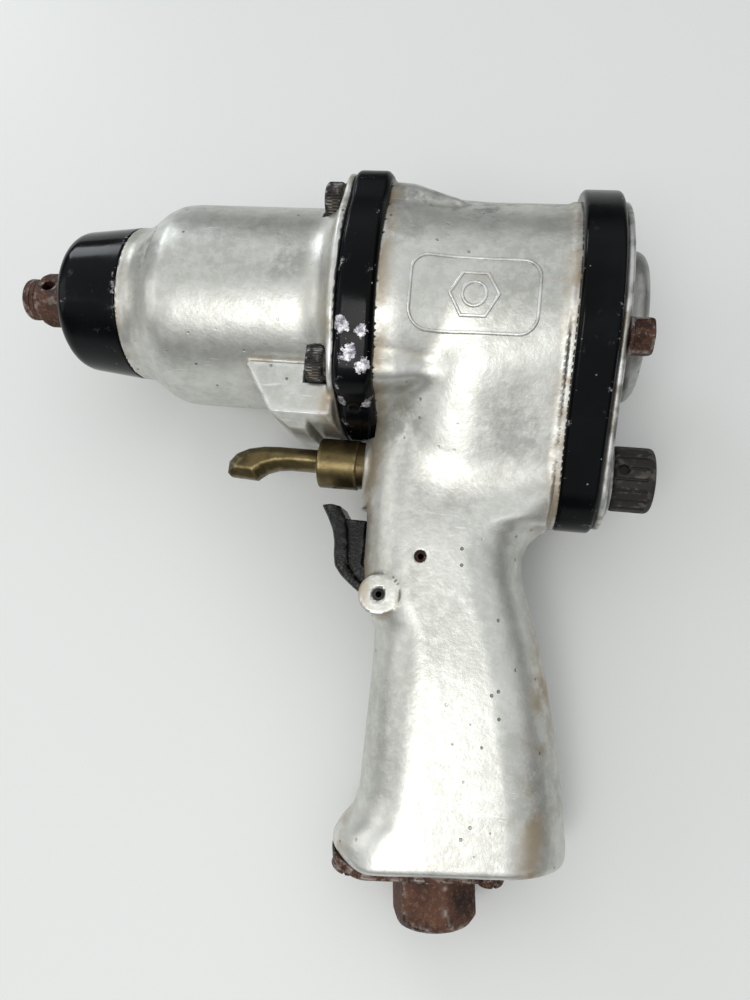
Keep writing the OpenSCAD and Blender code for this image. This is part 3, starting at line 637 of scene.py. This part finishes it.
def anvil(x, y, z):
    r = np.hypot(y, z)
    tip = rod(x, y, z, 6.2, 0.0, 6.0, rounding=0.9)
    tip = np.maximum(tip, -np.maximum(slab(x, 2.4, 3.8), 5.25 - r))
    u, v = turned(y, z, ANVIL_TURN)
    square = solid(box(u, v, 6.35, 6.35, 0.6), slab(x, 4.5, 15.0), 0.5)
    square = meet(square, r - 8.05 - 0.5 * (x - 6.5).clip(-2, 0), 0.5)
    hole = np.maximum(circle(x - 8.2, u, 1.9), -v)
    square = cut(square, hole, 0.4)
    journal = rod(x, y, z, 10.0, 14.5, 57.0, rounding=1.0)
    core = rod(x, y, z, 9.0, 56.0, 93.5, rounding=0.5)
    jaws = solid(box(y, z, 11.9, 4.0, 0.5), slab(x, 62.5, 92.5), 0.5)
    return join(join(join(tip, square, 0.6), journal, 1.2), np.minimum(core, jaws))


def nose_ring(x, y, z):
    r = np.hypot(y, z)
    outside = (r - profile(x, [(RING_START, 20.05), (RING_END, NECK_R)], 0.1)) * 0.99
    shape = meet(meet(outside, RING_START - x, 5.0), x - RING_END, 0.8)
    bore = np.where(x > RING_START + 2, r - 18.05, r - 13.0)
    return cut(shape, bore, 0.5)


def case_lug(x, y, z):
    """The wedge under the hammer case that guards the reverse lever."""
    side = polygon(x, y, [(77.4, -10.0), (78.9, -23.4), (87.0, -36.2), (90.5, -38.4), (95.6, -39.1),
                          (96.6, -36.8), (BAND_START - 0.5, -36.6), (BAND_START - 0.5, -10.0)])
    front = polygon(y, z, [(-22.7, -22.2), (-35.4, -21.6), (-38.2, -15.0), (-39.3, -9.0), (-39.3, 9.0),
                           (-38.2, 15.0), (-35.4, 21.6), (-22.7, 22.2), (-21.6, 16.0), (-10.0, 12.0),
                           (-10.0, -12.0), (-21.6, -16.0)])
    return meet(side, front, 1.2)


def hammer_case(x, y, z):
    r = np.hypot(y, z)
    outline = [(RING_END - 1, NECK_R), (42.0, NECK_R), (45.5, 23.8), (50.0, 27.2), (53.5, 28.6),
               (57.5, CASE_R), (BAND_END, CASE_R)]
    body = solid((r - profile(x, outline, 2.2)) * 0.9, slab(x, RING_END, BAND_START), 0.2)
    flange = circle(y, z, 36.3)
    for by, bz in FRONT_BOLTS:
        flange = join(flange, circle(y - by, z - bz, 6.7), 3.0)
    body = join(body, solid(flange, slab(x, LIP, BAND_START), 0.7), 10.0)
    body = np.maximum(join(body, case_lug(x, y, z), 1.6), slab(x, RING_END, BAND_START))
    body = drilled(body, x, y, z, 4.95, LIP - 6.9, LIP, FRONT_BOLTS, 0.4)
    body = drilled(body, x, y, z, FRONT_BOLT_HOLE, LIP - 1, BAND_START + 1, FRONT_BOLTS)
    spigot = rod(x, y, z, 17.95, RING_START + 2.5, RING_END + 2, rounding=0.4)
    body = join(body, spigot)
    body = cut(body, rod(x, y, z, CASE_R - 3.4, 57.0, BAND_START + 2))
    return cut(body, rod(x, y, z, 14.0, 0.0, 60.0))


def front_band(x, y, z):
    section = circle(y, z, BAND_R)
    for by, bz in FRONT_BOLTS:
        section = join(section, circle(y - by, z - bz, 7.5), 4.0)
    shape = beveled(section, slab(x, BAND_START, BAND_END), 1.3)
    shape = cut(shape, rod(x, y, z, MOTOR_BORE, BAND_START - 1, BAND_END + 1), 0.5)
    return drilled(shape, x, y, z, FRONT_BOLT_HOLE, BAND_START - 1, BAND_END + 1, FRONT_BOLTS)


def cap_screw(x, y, z):
    """A socket head cap screw at the first of the front bolts' places, with its lock washer."""
    y, z = y - FRONT_BOLTS[0][0], z - FRONT_BOLTS[0][1]
    r, turn = np.hypot(y, z), np.arctan2(z, y)
    knurl = 0.16 * np.cos(turn * 36) * (1 - 0.7 * (np.abs(x - LIP + 3.6) > 2.0))
    head = meet((r - 4.62 - knurl) * 0.9, slab(x, LIP - 6.3, LIP - 1.4), 1.2)
    head = cut(head, np.maximum(hexagon(y, z, 5.0), x - LIP + 3.2), 0.3)
    washer = meet(circle(y, z, 4.5), slab(x, LIP - 1.4, LIP), 0.3)
    shank = rod(x, y, z, 3.0, LIP - 2, LIP + 18.5, rounding=0.4)
    return join(join(head, washer), shank)


# ---- shapes of the motor housing and the rear end ----


def skirt(x, y, z):
    """The leaning sides below the motor, which narrow to the neck and curve round to its front."""
    share = np.clip((x - BAND_END) / (REAR_START - BAND_END), 0, 1)
    crease = -24.0 + 7.4 * share
    wide = 28.2 + 0.5 * share
    lean = 0.43 + 0.05 * share
    wall = wide + 0.16 * (y - crease)
    side = join(wall, wide - lean * (crease - y), 1.2)
    side = np.clip(side, 12.0, 31.6)
    reach = 30.0
    out = np.abs(z) * reach / side
    corner = 0.674 * (out - 9.0) - 0.737 * (x - NECK_FRONT)
    plan = meet(meet(NECK_FRONT - x, corner, 8.0), out - reach, 9.0) * side / reach
    return meet(meet(plan * 0.93, y + 3.0, 3.0), -58.0 - y, 2.0)


def grip(x, y, z):
    """The neck and the grip: round front and back edges whose places change with the height."""
    front = profile(y, [(-152, 112.2), (-141.5, 112.2), (-138, 113.7), (-134, 116.8), (-129, 117.9),
                        (-93, 118.0), (-88, 117.4), (-80, 113.0), (-72, 111.9), (-57, 111.2),
                        (-50, NECK_FRONT), (-30, NECK_FRONT)], 2.2)
    back = profile(y, [(-150, 171.0), (-143, 171.3), (-137, 171.3), (-126, 169.8), (-117, 168.1),
                       (-107, 166.0), (-97, 163.7), (-87, 160.7), (-77, 157.2), (-71, 155.3),
                       (-66, 154.9), (-62, 156.5), (-59, 159.4), (-56.5, 165.0), (-50, 172.0)], 1.6)
    half = profile(y, [(-150, 16.0), (-100, 15.9), (-80, 15.6), (-40, 15.6)], 4.0)
    middle, length = (front + back) / 2, (back - front) / 2
    section = box(x - middle, z, length, half, half - 0.5)
    end = meet(GRIP_END - end_frame(x, y)[1], GRIP_END - bend_frame(x, y)[1], 1.0)
    return meet(meet(section * 0.95, end, 2.4), y + 30.0, 4.0)


def housing_skin(x, y, z):
    """The outside of the motor housing."""
    flare = profile(x, [(BAND_END, 34.7), (119.0, 34.5), (124.0, 33.3), (131.0, 32.0), (138.0, BARREL_R),
                        (REAR_END, BARREL_R)], 4.0)
    body = (np.hypot(y, z) - flare) * 0.97
    reach = profile(x, [(BAND_END, 5.0), (119.5, 4.7), (124.7, 3.0), (131.5, 1.0), (136.0, -3.0)], 2.0)
    for by, bz in FRONT_BOLTS:
        body = join(body, circle(y - by, z - bz, reach), 2.5)
    body = join(body, skirt(x, y, z), 2.5)
    body = join(body, grip(x, y, z), 2.5)
    rear = egg(y, z, BARREL_R + 0.4, (15.6, 41.3))
    limit = rear - 4.5 * np.maximum(160.9 - x, 0)
    body = meet(body, np.where(y > -70, limit, -30.0), 2.0)
    body = join(body, solid(rear, slab(x, REAR_START - 1.7, REAR_START + 3), 0.9), 2.2)
    body = np.where(y > -75, np.maximum(body, x - REAR_START - 0.3), body)
    return np.maximum(body, np.minimum(BAND_END - 0.3 - x, y + BAND_R + 0.6))


def motor_housing(x, y, z):
    body = housing_skin(x, y, z)
    boss = pin(x, y, z, 5.3, PIVOT, 14.8, 0.7)
    body = join(body, boss, 1.2)
    body = cut(body, pin(x, y, z - 20.0, 5.5, PIVOT, 5.2), 0.5)
    lever_boss = rod(x, y, z, 7.4, NECK_FRONT, 118.0, REVERSE, 0.6)
    body = join(body, lever_boss, 2.0)
    body = cut(body, rod(x, y, z, MOTOR_BORE, BAND_END - 1, REAR_START + 1))
    slot = np.maximum(box(x - 115.0, y + 71.0, 10.0, 14.0, 1.0), np.abs(z) - 7.2)
    body = cut(body, slot, 0.8)
    body = drilled(body, x, y, z, FRONT_BOLT_HOLE, BAND_END - 1, LIP + 19, FRONT_BOLTS)
    body = drilled(body, x, y, z, REAR_BOLT_HOLE, REAR_START - 8, REAR_START + 1, REAR_BOLTS)
    body = cut(body, rod(x, y, z, 7.05, NECK_FRONT + 1, 146.0, REVERSE))
    body = cut(body, rod(x, y, z, 4.05, NECK_FRONT - 3, 146.0, REVERSE), 0.4)
    body = cut(body, rod(x, y, z, 6.05, 120.0, 146.0, THROTTLE))
    body = cut(body, rod(x, y, z, SPINDLE_HOLE, 151.0, REAR_START + 1, REGULATOR))
    for place in (PIVOT, SECOND_PIN):
        body = cut(body, pin(x, y, z, PIN_HOLE, place, 30.0), 0.3)
    body = cut(body, upright(x, y, z, 5.0, INLET_X, THROTTLE[0], -140.0))
    x, y = end_frame(x, y)
    body = cut(body, upright(x, y, z, 10.5, INLET_X, -128.0, GRIP_END - 2))
    return cut(body, upright(x, y, z, 4.5, EXHAUST_X, -120.0, GRIP_END - 2), 0.4)


def side_badge(x, y, z):
    """A plain frame with round corners and a nut's outline, raised on the housing's left side."""
    skin = housing_skin(x, y, z)
    u, v = x - 137.3, y + 5.5
    frame_line = np.abs(box(u, v, 15.6, 9.1, 4.5)) - 0.42
    nut = np.minimum(np.abs(hexagon(u, v, 10.4, 30)), np.abs(circle(u, v, 2.9))) - 0.42
    lines = np.minimum(frame_line, nut)
    return meet(np.maximum(lines, -z), slab(skin, -0.8, 0.42), 0.35)


def rear_band(x, y, z):
    shape = solid(egg(y, z, REAR_R, (16.0, 41.5)), slab(x, REAR_START, REAR_END), 1.3)
    shape = cut(shape, rod(x, y, z, MOTOR_BORE, REAR_START - 1, REAR_END + 1), 0.5)
    shape = drilled(shape, x, y, z, REAR_BOLT_HOLE, REAR_START - 1, REAR_END + 1, REAR_BOLTS)
    return cut(shape, rod(x, y, z, SPINDLE_HOLE, REAR_START - 1, REAR_END + 1, REGULATOR))


def rear_cover(x, y, z):
    plate = solid(egg(y, z, COVER_R, (15.0, 41.3)), slab(x, COVER_START, COVER_END), 0.8)
    hub = rod(x, y, z, 20.5, COVER_END - 1.5, HUB_END, rounding=3.5)
    boss = rod(x, y, z, 10.5, COVER_END - 1.5, KNOB_START - 0.2, REGULATOR, 0.6)
    web = solid(box(y + 25.5, z, 7.5, 5.0, 1.5), slab(x, COVER_END - 1, COVER_END + 1.6), 0.9)
    shape = join(join(join(plate, boss, 1.0), web, 1.5), hub, 2.5)
    shape = drilled(shape, x, y, z, 5.5, COVER_END + 0.05, HUB_END + 1, REAR_BOLTS, 0.8)
    shape = drilled(shape, x, y, z, REAR_BOLT_HOLE, COVER_START - 1, COVER_END + 1, REAR_BOLTS)
    shape = cut(shape, rod(x, y, z, 9.0, COVER_START - 1, COVER_START + 5))
    return cut(shape, rod(x, y, z, SPINDLE_HOLE, COVER_START - 1, KNOB_START + 1, REGULATOR))


def hex_bolt(x, y, z):
    """A hexagon head bolt at the second of the rear bolts' places."""
    y, z = y - REAR_BOLTS[1][0], z - REAR_BOLTS[1][1]
    head = meet(hexagon(y, z, 8.5, 11.46), slab(x, COVER_END + 0.9, COVER_END + 5.8), 0.3)
    head = meet(head, np.hypot(y, z) + 0.6 * (x - COVER_END - 5.8) - 4.45, 0.3)
    washer = rod(x, y, z, 4.7, COVER_END, COVER_END + 1.0, rounding=0.3)
    return join(join(head, washer), rod(x, y, z, 2.5, REAR_START - 7.4, COVER_END + 1, rounding=0.3))


def top_bolt(x, y, z):
    y, z = y - REAR_BOLTS[0][0], z - REAR_BOLTS[0][1]
    head = rod(x, y, z, 4.25, COVER_END, COVER_END + 3.0, rounding=0.7)
    head = cut(head, np.maximum(hexagon(y, z, 4.0), COVER_END + 1.2 - x), 0.3)
    return join(head, rod(x, y, z, 2.5, REAR_START - 7.4, COVER_END + 0.5, rounding=0.3))


# ---- shapes of the controls ----


def regulator_knob(x, y, z):
    y = y - REGULATOR[0]
    r, turn = np.hypot(y, z), np.arctan2(z, y)
    groove = np.abs(np.sin(turn * 9)) * r / 9 - 0.3
    groove = np.maximum(np.maximum(groove, 8.3 - r), x - KNOB_END + 2.2)
    shape = meet(circle(y, z, 8.75), slab(x, KNOB_START, KNOB_END), 1.6)
    shape = cut(shape, groove, 0.3)
    across, out = turned(y, z, KNOB_TURN)
    hole = np.maximum(np.hypot(x - KNOB_START - 2.6, across) - 1.35, -out)
    shape = cut(shape, hole, 0.3)
    return cut(shape, rod(x, y, z, 3.0, KNOB_START - 1, KNOB_END - 3.0))


def reverse_lever(x, y, z):
    hub = rod(x, y, z, 7.0, LEVER_END - 11.1, LEVER_END, REVERSE, 0.5)
    side = polygon(x, y, [(LEVER_TIP, -46.2), (72.6, -43.6), (76.0, -41.9), (80.5, -40.95),
                          (85.0, -40.75), (99.5, -40.75), (99.5, -47.1), (88.5, -47.1), (85.0, -47.5),
                          (82.0, -48.6), (80.2, -50.0), (79.3, -50.8), (71.6, -50.4),
                          (LEVER_TIP, -49.5)])
    arm = solid(side, slab(z, -4.0, 4.0), 0.5)
    arm = meet(arm, (side + np.abs(z) - 1.6) / math.sqrt(2), 0.6)
    shape = join(hub, arm, 1.0)
    shape = cut(shape, rod(x, y, z, 4.05, LEVER_END - 11.6, LEVER_END + 1, REVERSE), 0.3)
    return cut(shape, upright(x, y, z, 1.3, LEVER_END - 5.7, -34.0, -54.0), 0.2)


def trigger(x, y, z):
    bow = profile(y, [(-80.0, 115.6), (-78.0, 112.6), (-75.5, 109.5), (-73.0, 107.5), (-70.0, 106.9),
                      (-67.0, 106.7), (-63.5, 106.1), (-60.0, 104.7), (-57.0, 102.9)], 1.0)
    face = np.maximum((np.abs(x - bow) * 0.82 - 1.7), slab(y, -80.2, -57.0))
    hook = polygon(x, y, [(100.3, -57.0), (102.8, -56.5), (104.8, -57.0), (106.6, -59.4), (107.8, -63.0),
                          (107.0, -66.0), (104.9, -65.0), (103.4, -62.0)])
    half = np.where(z > 0, np.minimum(7.25 - 0.45 * np.abs(x - bow), 6.9), 6.9)
    plate = solid(join(face, hook, 1.2), np.abs(z) - half, 1.0)
    web = polygon(x, y, [(106.2, -60.1), (112.9, -60.1), (113.0, -72.0), (PIVOT[0] + 1, PIVOT[1] + 4.6),
                         (PIVOT[0], PIVOT[1] - 4.6), (113.0, -79.2), (107.0, -72.0)])
    web = solid(web, slab(z, -5.6, 5.6), 0.7)
    hub = pin(x, y, z, 4.6, PIVOT, 5.9, 0.5)
    shape = join(join(plate, web, 0.6), hub, 0.6)
    return cut(shape, pin(x, y, z, PIN_HOLE, PIVOT, 20.0))


# ---- shapes of the grip's end ----


PLATE_SCREWS = [(bend_frame, 117.0), (end_frame, 153.0)]


def plate_section(x, z):
    """The plate's outline: a rounded rectangle with a lobe round each screw."""
    section = box(x - 134.0, z, 20.5, 12.0, 7.0)
    section = join(section, circle(x - 118.2, z, 5.2), 3.0)
    return join(section, circle(x - 153.0, z, 3.9), 2.0)


def bottom_plate(x, y, z):
    bent_y = bend_frame(x, y)[1]
    flat_x, flat_y = end_frame(x, y)
    below = meet(GRIP_END - flat_y, GRIP_END - bent_y, 1.0)
    shape = solid(plate_section(flat_x, z), slab(below, 0.0, PLATE_T), 0.5)
    for placed, at_x in PLATE_SCREWS:
        u, v = placed(x, y)
        shape = cut(shape, upright(u, v, z, 1.6, at_x, GRIP_END + 1, GRIP_END - 5))
    return cut(shape, upright(flat_x, flat_y, z, 10.45, INLET_X, GRIP_END + 1, GRIP_END - 5))


def plate_screw(placed, at_x):
    """A screw of the grip's end, with a domed and slotted head."""
    def shape(x, y, z):
        x, y = placed(x, y)
        under = GRIP_END - PLATE_T
        head = upright(x, y, z, 3.55, at_x, under, under - 4.1, 1.8)
        head = cut(head, np.maximum(np.abs(x - at_x - 0.4 * z) - 0.45, y - under + 3.0), 0.2)
        return join(head, upright(x, y, z, 1.25, at_x, GRIP_END + 8, under - 0.5, 0.3))
    return shape


def inlet_bushing(x, y, z):
    x, y = end_frame(x, y)
    u, r = x - INLET_X, np.hypot(x - INLET_X, z)
    head = meet(hexagon(u, z, 19.0, 40), slab(y, INLET_END + 0.3, GRIP_END - PLATE_T), 0.4)
    head = meet(head, r - 10.9 - 0.8 * np.minimum(y - INLET_END - 2.6, 0), 0.4)
    rim = solid(circle(u, z, 8.6), slab(y, INLET_END, INLET_END + 3), 0.4)
    stem = solid(circle(u, z, 10.35), slab(y, GRIP_END - PLATE_T - 1, -131.0), 0.4)
    shape = join(np.minimum(head, rim), stem)
    lead = (y / 1.41 + np.arctan2(z, u) / (2 * math.pi)) % 1.0
    thread = 5.45 + 0.5 * np.abs(2 * lead - 1) + np.maximum(INLET_END + 0.8 - y, 0)
    bore = np.maximum((r - thread) * 0.8, y - INLET_END - 13.0)
    shape = cut(shape, bore, 0.1)
    return cut(shape, solid(circle(u, z, 4.2), slab(y, INLET_END - 1, -130.0)), 0.2)


# ---- materials ----

CAST_MARKS = [(spot(50.5, 17.0, 16.0), 9.0, 0.9), (spot(48.0, 6.0, 24.0), 7.0, 0.7),
              (spot(88.0, 3.0, 28.5), 9.0, 0.55)]
HOUSING_MARKS = [(spot(119.0, 22.0, 24.0), 12.0, 0.7), (spot(137.0, 21.0, 23.0), 13.0, 0.65),
                 (spot(153.0, 27.0, 16.0), 10.0, 0.5), (spot(121.0, -36.0, 17.0), 10.0, 0.45),
                 (spot(150.0, -36.0, 25.0), 17.0, 0.4), (spot(118.0, 10.0, 32.0), 8.0, 0.4)]
CHIPS = [(spot(105.8, -16.0, 33.5), 3.6), (spot(111.0, -17.0, 33.0), 3.4),
         (spot(107.5, -22.0, 30.5), 4.2), (spot(111.5, -24.5, 29.5), 3.6),
         (spot(105.0, -31.5, 21.0), 3.2), (spot(112.0, -32.0, 20.0), 2.2)]
STAMP = spot(108.6, -33.4, 18.2)

case_metal = cast_aluminium("case_metal", CAST_MARKS, [(LIP, 4.0), (RING_END, 2.5)])
# The housing's aluminium is painted 6% lighter than the case's: painted light.
housing_metal = cast_aluminium("housing_metal", HOUSING_MARKS, [(BAND_END, 5.0), (REAR_START, 5.5)],
                               1.06)
# The rear cover's aluminium at 0.42 of the usual tone: painted shade on the cover and its hub.
shaded_cover_metal = cast_aluminium("shaded_cover_metal", (), [(COVER_START, 1.2)], 0.42)
ring_black = black_enamel("ring_black")
band_black = black_enamel("band_black", CHIPS, STAMP)
rear_black = black_enamel("rear_black")
anvil_rust = rusted_steel("anvil_rust", (0.03, 0.016, 0.012), (0.10, 0.042, 0.026))
inlet_rust = rusted_steel("inlet_rust")
oxide = black_oxide_steel("oxide")
brass = aged_brass("brass")
knob_plastic = moulded_plastic("knob_plastic", (0.022, 0.019, 0.016), (0.22, 0.195, 0.17), 0.5, 0.7)
trigger_plastic = moulded_plastic("trigger_plastic", (0.003, 0.003, 0.0034), (0.10, 0.10, 0.095), 0.16,
                                  0.35)
machined = turned_metal("machined", (0.55, 0.55, 0.56))
bronze = turned_metal("bronze", (0.45, 0.29, 0.13), 0.35)
rubber = soft_black("rubber")
composite = soft_black("composite", (0.09, 0.055, 0.03))
screen_metal = turned_metal("screen_metal", (0.33, 0.26, 0.14), 0.5)


# ---- pieces ----


def piece(name, shape, low, high, pitch, body, slot, material, *nodes):
    made = meshed(name, shape, low, high, pitch)
    return belongs(made, body, slot, material, *nodes)


def build_tool():
    piece("Square_drive_anvil", anvil, (0, -12, -10), (93.5, 12, 10), 0.4, "drive", "rusted_steel",
          anvil_rust, "anvil")
    piece("Nose_ring_enamel", nose_ring, (RING_START, -22.3, -22.3), (RING_END, 22.3, 22.3), 0.45,
          "tool", "black_enamel", ring_black, "nose_ring")
    piece("Hammer_case_casting", hammer_case, (RING_START + 2, -39.5, -38), (BAND_START, 37.5, 38), 0.65,
          "tool", "cast_aluminium", case_metal, "hammer_case")
    piece("Front_band_enamel", front_band, (BAND_START, -39.5, -39.5), (BAND_END, 39.5, 39.5), 0.45,
          "tool", "black_enamel", band_black, "front_band")
    piece("Motor_housing_casting", motor_housing, (NECK_FRONT, GRIP_END - 4, -36), (172, 37, 36),
          0.7, "tool", "cast_aluminium", housing_metal, "motor_housing")
    piece("Side_badge_relief", side_badge, (121, -16, 22), (154, 5, 37), 0.3, "tool", "cast_aluminium",
          housing_metal, "side_badge")
    piece("Rear_band_enamel", rear_band, (REAR_START, -57.6, -REAR_R), (REAR_END, REAR_R, REAR_R), 0.45,
          "tool", "black_enamel", rear_black, "rear_band")
    piece("Rear_cover_casting", rear_cover, (COVER_START, -56.5, -33), (HUB_END, 33, 33), 0.5, "tool",
          "cast_aluminium", shaded_cover_metal, "rear_cover")


def around(place, start, end):
    """The low and high corners of a box round a bolt."""
    y, z = place
    return (start, y - 5, z - 5), (end, y + 5, z + 5)


def build_bolts():
    y0, z0 = FRONT_BOLTS[0]
    first = meshed("Cap_screw_1", cap_screw, *around(FRONT_BOLTS[0], LIP - 6.5, LIP + 18.5), 0.2)
    others = [moved(first, f"Cap_screw_{i}", y - y0, z - z0)
              for i, (y, z) in enumerate(FRONT_BOLTS[1:], 2)]
    for screw in [first] + others:
        belongs(screw, "tool", "black_oxide_steel", oxide, "front_bolts")
    left = meshed("Hex_bolt_left", hex_bolt,
                  *around(REAR_BOLTS[1], REAR_START - 8, COVER_END + 5.8), 0.25)
    right = moved(left, "Hex_bolt_right", 0.0, -2 * REAR_BOLTS[1][1])
    for bolt in (left, right):
        belongs(bolt, "tool", "rusted_steel", inlet_rust, "rear_hex_bolts")
    piece("Top_bolt", top_bolt, *around(REAR_BOLTS[0], REAR_START - 8, COVER_END + 3), 0.25,
          "tool", "black_oxide_steel", oxide, "rear_top_bolt")


def build_controls():
    y, r = REGULATOR[0], 9.0
    piece("Regulator_knob_ribbed", regulator_knob, (KNOB_START, y - r, -r), (KNOB_END, y + r, r), 0.25,
          "regulator", "knob_plastic", knob_plastic, "regulator_knob")
    piece("Reverse_lever_brass", reverse_lever, (LEVER_TIP, -51.3, -7.1), (LEVER_END, -37, 7.1), 0.3,
          "reverse", "aged_brass", brass, "reverse_lever")
    piece("Trigger_moulding", trigger, (99.5, -84.5, -7), (124.2, -56.2, 7), 0.32, "trigger_lever",
          "trigger_plastic", trigger_plastic, "trigger")


def build_grip_end():
    piece("Bottom_plate_steel", bottom_plate, (110, GRIP_END - 6, -12.2), (159, GRIP_END + 3, 12.2),
          0.35, "tool", "rusted_steel", inlet_rust, "bottom_plate")
    for name, screw, start in zip(("front", "rear"), PLATE_SCREWS, (111.5, 147.5)):
        low = (start, GRIP_END - 8.0, -3.8)
        high = (start + 11.5, GRIP_END + 11.5, 3.8)
        piece(f"Plate_screw_{name}", plate_screw(*screw), low, high, 0.22, "tool", "rusted_steel",
              inlet_rust, "bottom_screws")
    piece("Inlet_bushing_hex", inlet_bushing, (INLET_X - 12.5, INLET_END - 1.5, -11.2),
          (INLET_X + 14, -129.0, 11.2), 0.35, "tool", "rusted_steel", inlet_rust, "inlet_bushing")


CARRIED = {
    machined: ("hammer_cage", "front_hammer", "rear_hammer", "hammer_pins",
               "front_end_plate", "front_bearing", "rotor", "motor_cylinder", "rear_end_plate",
               "rear_bearing", "clamp_ring", "regulator_spindle", "reverse_valve", "throttle_valve",
               "throttle_spring"),
    bronze: ("anvil_bush", "throttle_bush", "inlet_screen"),
    brass: ("lever_washer", "lever_pin"),
    anvil_rust: ("friction_ring", "throttle_pin"),
    oxide: ("knob_screw", "trigger_pin"),
    rubber: ("nose_seal", "rear_gasket"),
    composite: ("rotor_vanes",),
    screen_metal: ("exhaust_screen",),
}


def dress_carried_nodes():
    """Gives each CAD node that shows as packed its own finish."""
    for material, names in CARRIED.items():
        for name in names:
            node = frame["nodes"][name]
            node.data.materials.clear()
            node.data.materials.append(material)


# ---- stage, light and camera ----

FLOOR_HALF = 6.0
LIGHT_TARGET = (0.10, -0.03, 0.0)
ROOM = [(0.01, 0.14), (0.30, 0.12), (0.60, 0.80), (0.88, 0.95), (0.97, 0.75)]


def floor_material():
    f = Finish("floor", Specular_IOR_Level=0.3)
    f.set(Base_Color=f.mix(f.noise(120, 3), (0.79, 0.80, 0.785), (0.82, 0.825, 0.81)), Roughness=0.45)
    return f.material


def build_stage():
    level = cad_box[0][2]
    corners = [(u * FLOOR_HALF, v * FLOOR_HALF, level) for u, v in ((-1, -1), (1, -1), (1, 1), (-1, 1))]
    mesh = bpy.data.meshes.new("floor")
    mesh.from_pydata(corners, [], [(0, 1, 2, 3)])
    floor = bpy.data.objects.new("floor", mesh)
    bpy.context.scene.collection.objects.link(floor)
    mesh.materials.append(floor_material())


def area_light(name, place, size, power, colour):
    lamp = bpy.data.lights.new(name, "AREA")
    lamp.shape = "RECTANGLE"
    lamp.size, lamp.size_y = size
    lamp.energy = power
    lamp.color = colour
    made = bpy.data.objects.new(name, lamp)
    made.location = place
    made.rotation_euler = (Vector(LIGHT_TARGET) - Vector(place)).to_track_quat("-Z", "Y").to_euler()
    bpy.context.scene.collection.objects.link(made)


def build_lights():
    area_light("door", (-0.05, -0.49, 0.82), (0.30, 0.42), 2.1, (1.0, 0.99, 0.96))
    area_light("window", (-0.8, 0.95, 0.50), (0.4, 0.36), 3.0, (0.9, 0.96, 1.0))
    area_light("wall", (-0.75, -0.1, 0.42), (0.5, 0.5), 0.9, (1.0, 1.0, 0.97))


def room_ramp(tree):
    """How bright the room is, by height: a darker floor and a lit wall and ceiling."""
    height = tree.nodes.new("ShaderNodeSeparateXYZ")
    tree.links.new(tree.nodes.new("ShaderNodeTexCoord").outputs["Generated"], height.inputs[0])
    ramp = tree.nodes.new("ShaderNodeValToRGB")
    ramp.color_ramp.elements[1].position = 0.001
    for stop in ramp.color_ramp.elements:
        stop.color = (ROOM[0][1], ROOM[0][1], ROOM[0][1], 1)
    for position, level in ROOM:
        stop = ramp.color_ramp.elements.new(position)
        stop.color = (level, level, level, 1)
    tree.links.new(height.outputs[2], ramp.inputs[0])
    return ramp.outputs[0]


def build_room():
    world = bpy.data.worlds.new("room")
    world.use_nodes = True
    tree = world.node_tree
    background = tree.nodes["Background"]
    background.inputs["Color"].default_value = (0.93, 0.95, 0.96, 1)
    tree.links.new(room_ramp(tree), background.inputs["Strength"])
    bpy.context.scene.world = world
    bpy.context.scene.view_settings.view_transform = "Standard"


def build_camera():
    """A phone's camera held over the tool, a little towards the grip."""
    data = bpy.data.cameras.new("camera")
    data.lens = 27.07
    data.clip_start = 0.01
    made = bpy.data.objects.new("camera", data)
    made.location = (0.14479, -0.11127, 0.19151)
    made.rotation_euler = [math.radians(a) for a in (17.103, 6.745, 7.164)]
    bpy.context.scene.collection.objects.link(made)
    bpy.context.scene.camera = made


build_camera()
build_tool()
build_bolts()
build_controls()
build_grip_end()
dress_carried_nodes()
build_stage()
build_lights()
build_room()
